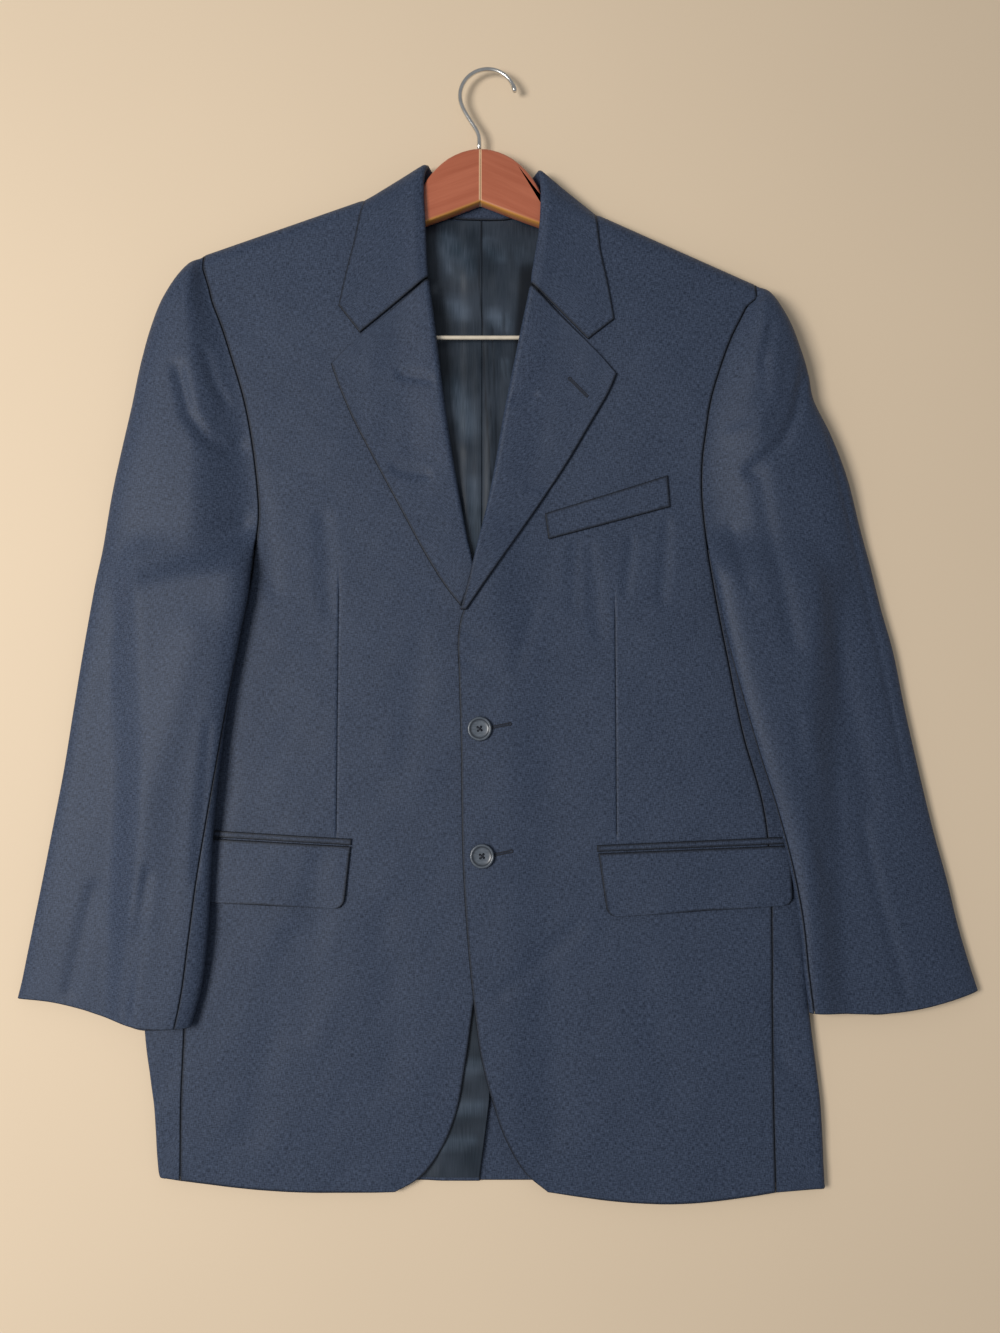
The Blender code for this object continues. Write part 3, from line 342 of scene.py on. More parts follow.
def noise(tree, vector, scale, detail=2.0, roughness=0.5):
    return node(tree, "ShaderNodeTexNoise", {"Vector": vector, "Scale": scale, "Detail": detail,
                                             "Roughness": roughness}).outputs["Fac"]


def stretched(tree, vector, scale, turn=0.0):
    return node(tree, "ShaderNodeMapping", {"Vector": vector, "Scale": scale,
                                            "Rotation": (0, 0, turn)}).outputs[0]
def stored(tree, name, output="Fac"):
    # what the mesh holds under this name
    return node(tree, "ShaderNodeAttribute", attribute_name=name).outputs[output]


def fit(tree, value, low, high, start=0.0, end=1.0):
    # the value's range from low to high, carried to start and end
    return node(tree, "ShaderNodeMapRange", {"Value": value, "From Min": low, "From Max": high,
                                             "To Min": start, "To Max": end}).outputs[0]


def bump(tree, shader, height, strength, distance):
    made = node(tree, "ShaderNodeBump", {"Height": height, "Strength": strength, "Distance": distance})
    tree.links.new(made.outputs[0], shader.inputs["Normal"])

wool = {
    "dark": (0.010, 0.018, 0.038, 1), "light": (0.052, 0.073, 0.124, 1),
    "fleck": (0.10, 0.128, 0.185, 1),
    "thread": 0.65,             # millimetres across a streak
    "streak": 3.4,              # millimetres along it
    "contrast": (0.39, 0.67),   # noise that is fully dark, and fully light
    "cloudScale": 26.0, "cloudWeight": 0.05,
    "fleckSize": (1.1, 1.6),    # millimetres
    "fleckFrom": 0.68, "fleckFull": 0.84, "fleckMost": 0.3,
    "roughness": 0.58, "specular": 0.28,
    "sheen": 0.05, "sheenRoughness": 0.45, "sheenTint": (0.75, 0.82, 1.0, 1),
    "bump": 0.35, "bumpDistance": 0.0004,
}


def woolWeave():
    # the cloth's colour and thread height from its own flat coordinates
    group = bpy.data.node_groups.new("woolWeave", "ShaderNodeTree")
    group.interface.new_socket(name="Grain", in_out="INPUT", socket_type="NodeSocketVector")
    group.interface.new_socket(name="Colour", in_out="OUTPUT", socket_type="NodeSocketColor")
    group.interface.new_socket(name="Height", in_out="OUTPUT", socket_type="NodeSocketFloat")
    start, end = group.nodes.new("NodeGroupInput"), group.nodes.new("NodeGroupOutput")
    grain = start.outputs["Grain"]
    fine, long = 1000 / wool["thread"], 1000 / wool["streak"]
    up = noise(group, stretched(group, grain, (fine, long, 1)), 1.0, 1.0)
    across = noise(group, stretched(group, grain, (long, fine, 1)), 1.0, 1.0)
    cloud = noise(group, grain, wool["cloudScale"])
    weave = weighted(group, (up, 0.5), (across, 0.5), (cloud, wool["cloudWeight"]))
    tone = fit(group, weave, *wool["contrast"])
    colour = blendColours(group, tone, wool["dark"], wool["light"])
    wide, tall = (1000 / size for size in wool["fleckSize"])
    spots = noise(group, stretched(group, grain, (wide, tall, 1)), 1.0, 0.0)
    spot = fit(group, spots, wool["fleckFrom"], wool["fleckFull"], 0.0, wool["fleckMost"])
    colour = blendColours(group, spot, colour, wool["fleck"])
    group.links.new(colour, end.inputs["Colour"])
    group.links.new(weave, end.inputs["Height"])
    return group


weaveGroup = woolWeave()


def woolMaterial(name, shadeWidth, edgeShadeTone):
    # painted shade: the cloth darkens near its edges and seams, where shade falls in the gaps between layers
    made, tree, shader = newMaterial(name, Roughness=wool["roughness"], Sheen_Weight=wool["sheen"],
                                     Sheen_Roughness=wool["sheenRoughness"],
                                     Specular_IOR_Level=wool["specular"], Sheen_Tint=wool["sheenTint"])
    weave = node(tree, "ShaderNodeGroup", node_tree=weaveGroup)
    tree.links.new(stored(tree, "grain", "Vector"), weave.inputs["Grain"])
    inside = fit(tree, stored(tree, "toEdge"), 0.0, shadeWidth, edgeShadeTone, 1.0)
    paintedEdgeShade = node(tree, "ShaderNodeCombineColor", dict.fromkeys(("Red", "Green", "Blue"), inside)).outputs[0]
    colour = blendColours(tree, 1.0, weave.outputs["Colour"], paintedEdgeShade, "MULTIPLY")
    tree.links.new(colour, shader.inputs["Base Color"])
    bump(tree, shader, weave.outputs["Height"], wool["bump"], wool["bumpDistance"])
    return made


# both wool materials carry painted shade along edges and seams; the second's is wider and darker
suiting = woolMaterial("navySuiting", 0.0013, 0.12)
edgeShaded = woolMaterial("navySuitingEdgeShaded", 0.0026, 0.02)

# fold is the colour of the painted shade in the satin's folds and under the lapels
satin = {
    "dark": (0.020, 0.034, 0.052, 1), "light": (0.078, 0.104, 0.146, 1), "fold": (0.002, 0.004, 0.008, 1),
    "cloudScale": 22.0, "threadScale": (1500, 60, 1), "contrast": (0.38, 0.66),
    "roughness": 0.42, "specular": 0.3, "bump": 0.12, "bumpDistance": 0.0003,
}


def satinMaterial():
    made, tree, shader = newMaterial("liningSatin", Roughness=satin["roughness"],
                                     Specular_IOR_Level=satin["specular"])
    grain = stored(tree, "grain", "Vector")
    cloud = noise(tree, grain, satin["cloudScale"])
    threads = noise(tree, stretched(tree, grain, satin["threadScale"]), 1.0, 1.0)
    tone = fit(tree, weighted(tree, (cloud, 0.7), (threads, 0.3)), *satin["contrast"])
    colour = blendColours(tree, tone, satin["dark"], satin["light"])
    # painted shade and painted highlights on the satin, from the amount stored on the mesh
    colour = blendColours(tree, stored(tree, "dusk"), colour, satin["fold"])
    tree.links.new(colour, shader.inputs["Base Color"])
    bump(tree, shader, threads, satin["bump"], satin["bumpDistance"])
    return made


lining = satinMaterial()

# the gold edge colour is a painted highlight on the lower bevel
wood = {
    "dark": (0.37, 0.090, 0.038, 1), "light": (0.47, 0.135, 0.066, 1),
    # joint is the colour of the painted highlight along the centre joint's bevels
    "joint": (0.95, 0.66, 0.40, 1), "bevelHighlight": (0.60, 0.27, 0.055, 1),
    "ringScale": (9, 190, 60), "poreScale": (60, 1600, 400), "contrast": (0.3, 0.66),
    "jointHighlightFrom": 0.0006, "jointHighlightTo": 0.0013, "jointHighlightMost": 0.9,
}


def woodMaterial():
    made, tree, shader = newMaterial("cherryWood", Roughness=0.34, Coat_Weight=0.6,
                                     Coat_Roughness=0.12)
    grain = stored(tree, "grain", "Vector")
    rings = noise(tree, stretched(tree, grain, wood["ringScale"]), 1.0, 3.0, 0.55)
    pores = noise(tree, stretched(tree, grain, wood["poreScale"]), 1.0, 1.0)
    tone = fit(tree, weighted(tree, (rings, 0.8), (pores, 0.2)), *wood["contrast"])
    colour = blendColours(tree, tone, wood["dark"], wood["light"])
    # painted highlight along the centre joint, where the two bevels meet
    joint = fit(tree, stored(tree, "toEdge"), wood["jointHighlightFrom"], wood["jointHighlightTo"], wood["jointHighlightMost"], 0.0)
    colour = blendColours(tree, joint, colour, wood["joint"])
    # painted highlight on the lower bevel
    colour = blendColours(tree, stored(tree, "lowBevelHighlight"), colour, wood["bevelHighlight"])
    tree.links.new(colour, shader.inputs["Base Color"])
    return made


cherry = woodMaterial()


def wornMetal(name, colour, roughness, metallic=1.0):
    made, tree, shader = newMaterial(name, Metallic=metallic)
    place = node(tree, "ShaderNodeTexCoord").outputs["Object"]
    marks = noise(tree, place, 160.0, 2.0)
    tree.links.new(fit(tree, marks, 0.0, 1.0, roughness * 0.8, roughness * 1.35), shader.inputs["Roughness"])
    shade = tuple(c * 0.72 for c in colour[:3]) + (1,)
    tree.links.new(blendColours(tree, marks, shade, colour), shader.inputs["Base Color"])
    return made


steel = wornMetal("hookWire", (0.78, 0.76, 0.72, 1), 0.2)
# the bar's pale base colour with little metal is a painted highlight, standing in for the polished wire's
# reflection
brass = wornMetal("paleBarMetal", (1.0, 0.88, 0.70, 1), 0.22, 0.35)


def resinMaterial():
    made, tree, shader = newMaterial("buttonResin", Roughness=0.33, Coat_Weight=0.25,
                                     Coat_Roughness=0.2)
    place = node(tree, "ShaderNodeTexCoord").outputs["Object"]
    swirl = noise(tree, stretched(tree, place, (1, 2.4, 1), 0.6), 240.0, 2.0)
    tone = fit(tree, swirl, 0.35, 0.7)
    colour = blendColours(tree, tone, (0.065, 0.082, 0.105, 1), (0.11, 0.13, 0.16, 1))
    # painted shade in the groove between rim and centre, and round the outer edge
    colour = blendColours(tree, stored(tree, "groove"), colour, (0.010, 0.013, 0.020, 1))
    tree.links.new(colour, shader.inputs["Base Color"])
    return made


resin = resinMaterial()


def threadMaterial():
    made, tree, shader = newMaterial("navyThread", Roughness=0.7)
    place = node(tree, "ShaderNodeTexCoord").outputs["Object"]
    twist = noise(tree, place, 1400.0, 1.0)
    tree.links.new(blendColours(tree, twist, (0.004, 0.006, 0.012, 1), (0.014, 0.018, 0.032, 1)),
                   shader.inputs["Base Color"])
    return made


thread = threadMaterial()
print("materials made")

# Fronts: front edge or roll line, then side seam or armhole, from the hem up

frontRows = {
    right: [
        (66, -5, 234.5, 4), (48, 5, 234.7, 24), (30, 27, 235, 46), (19, 52, 235, 68),
        (11, 92, 234.3, 100), (5, 135, 233.3, 140), (-4, 200, 233, 205), (-9, 262, 232.5, 268),
        (-11, 330, 221, 330), (-12, 395, 204, 395), (-11, 440, 192, 452), (4, 466, 186.5, 482),
        (13.5, 492, 184, 504), (15, 512, 181.5, 527), (24, 550, 183, 560), (30.5, 591, 187, 594),
        (36.5, 632, 193, 626), (41.5, 678, 203, 660), (46.5, 712, 213, 690), (50, 728, 219, 705),
        (57, 750, 223, 720),
    ],
    left: [
        (54, -5, 232.5, -5), (37, 9, 232.4, 16), (21.5, 34, 232.2, 42), (10.5, 64, 232, 75),
        (1, 100, 232.3, 110), (-4.2, 137, 232.6, 145), (-8.8, 180, 233, 185), (-13.6, 253, 232.5, 255),
        (-14.7, 301, 227, 300), (-15.4, 350, 213, 352), (-17, 400, 201, 415), (-17.5, 435, 191.5, 468),
        (-13, 455, 186, 504), (-2, 481, 183, 530), (5, 512, 181.5, 552), (13, 545, 182, 578),
        (20, 580, 185, 602), (25.5, 614, 189, 627), (32.5, 648, 197, 654), (40, 684, 206, 678),
        (47.5, 718, 214, 694), (56, 748, 219, 704),
    ],
}
hemDip = {right: 4.0, left: 9.0}
darts = {right: {"out": 115.0, "low": 269, "high": 496}, left: {"out": 110.0, "low": 268, "high": 479}}
armpitRow = 12
frontCurves = {side: Curve([(*row, i) for i, row in enumerate(frontRows[side])], [(0, 1), (2, 3)])
               for side in (right, left)}
depthSteps = np.array([15, 13, 11, 9, 7.2, 5.5, 4, 2.8, 1.8, 1.05, 0.55, 0.22, 0.06, 0.0])


def frontOuts(side, inner, outer):
    middle = darts[side]["out"]
    first = inner + places(middle - 4 - inner, 34, 1.2, 1.2)[:-5]
    last = middle + 4 + places(outer - middle - 4, 36, 1.2, cloth["seamRound"])[5:]
    groove = middle + np.array([-3, -2.2, -1.5, -1, -0.5, 0, 0.5, 1, 1.5, 2.2, 3])
    return np.concatenate([first, groove, last])


def frontGrid(side):
    curve = frontCurves[side]
    length = curve.knots[-1]
    grid = []
    at = places(length, int(length / cloth["step"]), 1.2, 1.2)[:-5]
    for inner, innerY, outer, outerY, index in curve.at(at):
        outs = frontOuts(side, inner, outer - cloth["seam"])
        share = (outs - inner) / (outer - inner)
        dip = hemDip[side] * max(0.0, 1 - index / 3)
        grid.append((outs, mix(innerY, outerY, share) - dip * np.sin(np.pi * share)))
    outs = frontOuts(side, neckOut, shoulders[side]["end"] - cloth["seam"])
    top = shoulderY(side, outs)
    below = grid[-1]
    for t in np.linspace(0, 1, 9)[1:-1]:
        grid.append((mix(below[0], outs, t), mix(below[1], top - depthSteps[0], t)))
    grid += [(outs, top - depth) for depth in depthSteps]
    out, y = np.array([row[0] for row in grid]), np.array([row[1] for row in grid])
    x = side * out
    z = bodyZ(side, x, y)
    dart = darts[side]
    inDart = ease((y - dart["low"]) / 6) * (1 - ease((y - dart["high"] + 30) / 30))
    z = z - 0.7 * np.exp(-((out - dart["out"]) / 0.9) ** 2) * inDart
    # the painted edge shade runs along the dart too, half as wide as at an edge
    return np.stack([x, y, z], 2), 2 * (np.abs(out - dart["out"]) + 3 * (1 - inDart))


def front(side):
    grid, toDart = frontGrid(side)
    seam = cloth["seamRound"]
    piece = shell("front" + ends[side], grid, cloth["frontWall"], (1.2, seam, 1.2, 0.8), edgeShaded,
                  grid[:, :, :2], toDart)
    attach(piece, ["front" + cadEnds[side]])


# Side panels, which wrap round the side folds

sideFolds = {
    right: [(6, 250), (57, 256), (125, 266), (210, 267), (320, 264), (420, 268), (504, 274)],
    left: [(-2, 272), (65, 269), (133, 262), (220, 259), (320, 258), (420, 264), (504, 272)],
}
sideHemY = {right: 6.0, left: -2.0}
backSeamOut, backHemY = 205.0, 2.0


def sideFold(side, y):
    curve = Curve(sideFolds[side], [(0, 1)])
    line = curve.at(np.linspace(0, curve.knots[-1], 160))
    return np.interp(y, line[:, 0], line[:, 1])


def sidePanel(side):
    curve = frontCurves[side]
    length = curve.knots[armpitRow]
    grid, grain = [], []
    for _, _, outer, outerY, _ in curve.at(places(length, int(length / 5), 0.75, 0.8)):
        seam = outer + cloth["seam"]
        fold = float(sideFold(side, outerY))
        topZ = float(bodyZ(side, side * seam, outerY))
        radius = (topZ - level["back"]) / 2
        hem = 1 - float(ease(outerY / 60))
        foldY, backY = mix(outerY, sideHemY[side], hem), mix(outerY, backHemY, hem)
        turns = np.radians(np.linspace(90, -90, 19))
        line = [(seam, outerY, topZ)]
        line += [(fold - radius + radius * math.cos(a), foldY,
                  level["back"] + radius + radius * math.sin(a)) for a in turns]
        line.append((backSeamOut + cloth["seam"], backY, level["back"]))
        line = np.array(line)
        total = alongPath(line)[-1]
        at = places(total, 52, cloth["seamRound"], cloth["seamRound"])
        line = pick(line, at)
        line[:, 0] *= side
        upper = ease((line[:, 2] - level["back"] - radius) / radius)
        line[:, 2] += upper * (unevenness(side, line[:, 0], line[:, 1])
                               - unevenness(side, side * seam, outerY))
        grid.append(line)
        grain.append(np.stack([side * (seam + at), np.full(len(at), outerY)], 1))
    piece = shell("sidePanel" + ends[side], grid, cloth["backWall"],
                  (cloth["seamRound"], cloth["seamRound"], 0.75, 0.8), suiting, np.array(grain))
    attach(piece, ["side_panel" + cadEnds[side]])


# Backs and their lining

backOuter = [(0, 205), (0.54, 205), (0.67, 204.5), (0.75, 200), (0.82, 199), (0.88, 203),
             (0.93, 211), (0.975, 221), (1.0, 228)]
neckDip = [(0, 0), (22, 0.9), (45, 6), (61, 20)]
backNeckY, ventTopY = 782.6, 238.0
ventLap = {right: 9.0, left: 26.0}
ventSwing = {right: 8.5, left: 0.0}     # how far the vent's edge swings back at the hem
liningShape = {
    "out": 56.0, "pleat": 1.2, "low": 5.0,
    "ridgeSpread": 1.6, "ridgeShare": 0.25,     # of the widths and rises in liningRidges
    "lightSpread": 1.3, "lightShare": 1.5,      # "lightSpread": 1.3, "lightShare": 1.5, # of the widths and amounts of the painted highlights
    # the lining's painted shade: its base amount, and its most
    "tone": 0.58, "darkest": 0.95,
}


def collarLift(x, y):
    return level["collarLift"] * ease((y - 718) / 22) * (1 - ease((np.abs(x) - 97) / 14))


def ventRise(side, x, y):
    # the right back lies over the left one below the top of the vent
    if side == left:
        return 0.0
    inside = 1 - ease((-x - ventLap[left] - 3) / 14)
    return (cloth["backWall"] + cloth["gap"]) * inside * (1 - ease((y - ventTopY - 3) / 24))


def backSurface(side, share, outs, depth, hemY=backHemY):
    neck = backNeckY + np.interp(np.clip(outs, 0, neckOut), *zip(*neckDip))
    top = mix(neck, shoulderY(side, np.maximum(outs, neckOut)), ease((outs - neckOut + 6) / 8))
    y = mix(hemY, top - depth, share)
    x = side * outs
    z = level["back"] + collarLift(x, y) + ventRise(side, x, y)
    lift = roundOff(top - y, shoulderRound) * ease((outs - neckOut) / 12)
    return np.stack([x, y, z + (level["shoulderSeam"] - 0.6 - z) * lift], 1)


def backRows():
    shares = places(1.0, 150, 0.75 / 780, 0.001)[:-5]
    return [(share, 15.0) for share in shares if share < 0.999] + [(1.0, d) for d in depthSteps]


def ventEdge(side, share):
    y = share * backNeckY
    swing = ventSwing[side] * min(max((66 - y) / 64, 0), 1)
    return (ventLap[side] - swing) * (1 - float(ease((y - ventTopY + 12) / 12)))


def back(side):
    grid = []
    for share, depth in backRows():
        outer = float(np.interp(share, *zip(*backOuter))) - cloth["seam"]
        if share == 1.0:
            outer = shoulders[side]["end"] - cloth["seam"]
        inner = cloth["seam"] - ventEdge(side, share)
        outs = inner + places(outer - inner, 48, 0.75, cloth["seamRound"])
        grid.append(backSurface(side, share, outs, depth))
    grid = np.array(grid)
    piece = shell("back" + ends[side], grid, cloth["backWall"], (0.75, cloth["seamRound"], 0.75, 0.75),
                  suiting, grid[:, :, :2])
    attach(piece, ["back" + cadEnds[side]])


liningRidges = [
    ([(6, 690), (6.5, 560), (3, 470)], 2.6, 2.6), ([(13, 684), (9.5, 580), (6, 480)], 2.6, 2.6),
    ([(-2, 670), (-1, 520)], 3.2, 1.8), ([(-32, 772), (-16, 742)], 8, 2.6),
    ([(-12, 768), (-20, 728)], 6, 2.0),
    ([(-36, 735), (-22, 700)], 7, 2.4), ([(18, 778), (30, 748)], 6, 2.4), ([(34, 730), (24, 690)], 6, 2.2),
    ([(14, 740), (16, 700)], 4, 1.8), ([(-28, 650), (-14, 612)], 8, 2.6), ([(-30, 606), (-10, 588)], 5, 2.2),
    ([(22, 660), (20, 610)], 5, 2.0), ([(-14, 560), (-8, 500)], 5, 2.0), ([(16, 560), (12, 510)], 4, 1.8),
    ([(-40, 22), (-8, 30)], 5, 1.6), ([(-34, 52), (-6, 60)], 5, 1.6), ([(-22, 82), (0, 86)], 6, 1.4),
]


def liningFolds(side, x, y):
    # upright ridges beside the pleat, and low blisters in the satin
    z = 0.5 * (1 + np.sin(x * 0.11 + np.sin(y * 0.02) * 1.5)) * (1 + np.sin(y * 0.045 + x * 0.03)) / 2
    for path, width, rise in liningRidges:
        high = rise * liningShape["ridgeShare"]
        z = z + crease(x, y, path, width * liningShape["ridgeSpread"], -high)
    return np.maximum(z, 0)


# painted shade along the satin's folds: path, width and how dark
liningShadeLines = [
    ([(1.5, 800), (-1, 733), (2, 690), (4, 640), (9, 560)], 1.7, 0.9),
    ([(5, 690), (8, 630), (12, 570)], 1.3, 0.8),
    ([(10, 690), (12, 640), (14, 560)], 1.6, 0.85), ([(-9, 745), (-8, 690)], 2.6, 0.35),
    ([(20, 712), (19, 670), (23, 640)], 2.0, 0.6), ([(27, 700), (24, 655)], 2.4, 0.5),
    ([(-20, 668), (-6, 640)], 7.0, 0.35), ([(-16, 600), (-4, 585)], 7.0, 0.35),
    ([(10, 765), (44, 752)], 13.0, 0.5), ([(-22, 745), (-2, 722)], 9.0, 0.4),
    ([(-44, 22), (4, 18)], 2.2, 0.5), ([(-40, 42), (0, 47)], 4.0, 0.3), ([(-34, 68), (0, 74)], 4.0, 0.3),
]


# painted highlights where the satin catches the light: path, width and how light
liningPaintedHighlights = [
    ([(-30, 764), (-15, 742)], 11, 0.55), ([(5, 764), (17, 752)], 6, 0.4), ([(33, 754), (40, 746)], 5, 0.45),
    ([(-26, 712), (-15, 704)], 8, 0.35), ([(10, 702), (22, 694)], 7, 0.45),
    ([(-24, 640), (-10, 606)], 11, 0.45),
    ([(21, 662), (27, 644)], 4, 0.5), ([(-6, 560), (-2, 500)], 6, 0.3), ([(-40, 30), (-6, 34)], 5, 0.4),
    ([(-30, 58), (0, 60)], 6, 0.4), ([(-22, 88), (0, 92)], 6, 0.4),
]


def liningPaintedShading(x, y):
    # painted shade and shadow: darker in the folds and under the two lapels' edges, with painted highlights
    # where the satin catches the light
    dark = np.full(np.shape(x), liningShape["tone"])
    for path, width, amount in liningPaintedHighlights:
        light = amount * liningShape["lightShare"]
        dark = dark + crease(x, y, path, width * liningShape["lightSpread"], light)
    lapelEdge = mix(26, 12, np.clip((760 - y) / 220, 0, 1))
    under = liningShape["darkest"] * ease((x - lapelEdge) / 11)
    dark = np.maximum(np.maximum(dark, 0), under * (y > 400) * (1 - ease((y - 738) / 24)))
    for path, width, depth in liningShadeLines:
        dark = np.maximum(dark, np.clip(-crease(x, y, path, width, depth), 0, 1))
    return np.clip(dark, 0, liningShape["darkest"])


def backLining(side):
    grid = []
    for share, depth in backRows():
        y = mix(liningShape["low"], backNeckY, share)
        below = 1 - float(ease((y - 236) / 8))
        if side == right:
            vent = ventEdge(right, y / backNeckY) - 1
            inner = cloth["seam"] - mix(liningShape["pleat"], vent, below)
        else:
            inner = mix(-9.0, 43.0, below)
        outs = inner + places(liningShape["out"] - inner, 56, 0.4, 0.4)
        line = backSurface(side, share, outs, depth, liningShape["low"])
        line[:, 2] += level["lining"] - 0.05
        if side == right:
            line[:, 2] += (cloth["liningWall"] + cloth["gap"]) * (1 - ease((outs - 10) / 8)) * (1 - below)
        y = line[:, 1]
        atHem = ease((y - 18) / 6) * (1 - ease((y - 90) / 30))
        inside = (ease((y - 400) / 60) + atHem) * (1 - ease((y - 768) / 14))
        line[:, 2] += liningFolds(side, line[:, 0], y) * inside * ease((liningShape["out"] - outs) / 8)
        grid.append(line)
    grid = np.array(grid)
    piece = shell("backLining" + ends[side], grid, cloth["liningWall"], (0.35, 0.35, 0.35, 0.35),
                  lining, grid[:, :, :2])
    place = placesOf(piece.data)
    # the painted shade and highlights, fixed to the satin
    store(piece.data, "dusk", liningPaintedShading(place[:, 0], place[:, 1]))
    attach(piece, ["back_lining" + cadEnds[side]])


# Lapels: roll line, then outer edge, from the break point up to the gorge

lapelRows = {
    right: [
        (5, 482, 15.5, 457.5), (7, 496, 28, 473.5), (11, 513, 42, 495.5), (18, 550, 64, 535.5),
        (25, 591, 86, 576.5), (31, 632, 105, 613), (35, 665, 116, 639), (38, 690, 122, 656),
        (40.5, 708, 111, 667), (43, 725.5, 97.5, 679),
    ],
    left: [
        (-15, 454, -11, 454), (-8, 481, 6, 479), (-1, 509, 28, 511), (7, 542, 50, 543),
        (14, 578, 73, 578), (19.5, 611, 92, 610), (26, 644, 105, 632), (33, 678, 112, 648),
        (37.5, 699, 101, 660.5), (42, 720.5, 87.5, 674),
    ],
}
lapelTip = 7
roll = {"rise": 3.0, "fade": 35.0}


def lapel(side):
    curve = Curve(lapelRows[side], [(0, 1), (2, 3)], [lapelTip])
    length = curve.knots[-1]
    at = np.sort(np.append(places(length, int(length / 3), 1.1, 0.9), curve.knots[lapelTip]))
    grid, grain = [], []
    for distance, (rollOut, rollY, edgeOut, edgeY) in zip(at, curve.at(at)):
        start, end = np.array([rollOut, rollY]), np.array([edgeOut, edgeY])
        width = float(np.linalg.norm(end - start))
        way = (end - start) / width
        swell = roll["rise"] * float(ease((width - 30) / 40))
        flat = places(width, 44, 1.1, 1.1)[:-4]
        spot = end[None] - way[None] * flat[:, None]
        puff = swell * (1 - ease((width - flat) / roll["fade"]))
        x = side * spot[:, 0]
        z = bodyZ(side, x, spot[:, 1]) + level["lapel"] + puff
        for path, wide, deep in lapelCreases[side]:
            z = z + crease(x, spot[:, 1], path, wide, deep)
        line = np.stack([x, spot[:, 1], z], 1)
        radius = (level["lapel"] + swell) / 2 * max(float(ease(width / 40)), 0.25)
        top = float(bodyZ(side, side * (rollOut + 6), rollY)) + level["lapel"] + swell - radius
        turns = np.radians(np.linspace(72, -72, 13))
        reach = np.minimum(radius * (1 - np.cos(turns)), width * 0.3)
        curl = start[None] + way[None] * reach[:, None]
        bend = np.stack([side * curl[:, 0], curl[:, 1], top + radius * np.sin(turns)], 1)
        line = np.concatenate([line[flat < width - reach[0] - 0.4], bend])
        gone = alongPath(line)
        want = places(gone[-1], 60, 1.1, 1.1)
        line = pick(line, want)
        grid.append(line)
        grain.append(np.stack([want, np.full(len(want), distance)], 1))
    piece = shell("lapel" + ends[side], grid, cloth["lapelWall"], (1.1, 1.1, 1.1, 0.9), edgeShaded,
                  np.array(grain))
    attach(piece, ["lapel" + cadEnds[side]])


# Collar: how far it has turned under, its fold, the edge of its fall, the neck seam of its stand

collarRows = {
    right: [
        (0, 43.3, 727.5, 98.5, 681.5, 47.0, 731), (0, 44, 738, 116, 704, 49, 742),
        (0, 45, 757, 110, 733, 53.5, 760), (0, 46, 780, 103.5, 760, 57, 781),
        (15, 47, 800, 98.5, 783, 58.5, 796), (45, 46.5, 817, 96.5, 795, 58, 803),
        (90, 44, 827, 95, 799.5, 55, 809), (135, 41.5, 825, 92, 795, 52, 807),
        (165, 38, 820, 84, 785, 48, 799), (180, 33, 817, 68, 776, 41, 791),
        (180, 18, 815.5, 35, 772, 22, 785.5), (180, 0, 815, 0, 771, 0, 784.2),
    ],
    left: [
        (0, 42.3, 722.5, 88.5, 676.5, 46.0, 726), (0, 43.3, 733, 110, 693, 49, 737),
        (0, 46.5, 752, 105, 722, 53.5, 756), (0, 49.5, 772, 99.5, 748, 58, 775),
        (15, 50.5, 792, 96.5, 767, 59.5, 788), (45, 50.5, 808, 95.5, 779, 58.5, 796),
        (90, 48, 822, 94.5, 784, 56.5, 801), (135, 45.5, 821, 91, 780, 53, 800),
        (165, 41, 818, 83, 776, 48.5, 797), (180, 34, 816.5, 66, 773, 41, 791),
        (180, 18, 815.3, 35, 771.5, 22, 784.8), (180, 0, 815, 0, 771, 0, 784.2),
    ],
}
earNormal = {right: (0.47, 0.88), left: (0.63, 0.77)}
turnZ, foldNear = 10.9, 2.1


def turned(side, out, degrees):
    # where the fall's edge goes round the shoulder: over its front, then under its back
    steep = min(degrees, 180 - degrees)
    if degrees <= 90:
        start, end, clearance = level["overHanger"], 6.3, level["fall"] + 0.9
    else:
        start, end, clearance = level["back"] + level["collarLift"], 5.4, 2.15
    turn = math.radians(steep)
    at = math.pi / 2 if steep >= 89.99 else math.atan(math.tan(turn) * 15 / abs(end - start))
    y = float(shoulderY(side, out, 96.0, 20.0)) - 15 * (1 - math.sin(at)) + clearance * math.sin(turn)
    way = 1 if degrees <= 90 else -1
    z = start + (end - start) * (1 - math.cos(at)) + way * clearance * math.cos(turn)
    return y, z


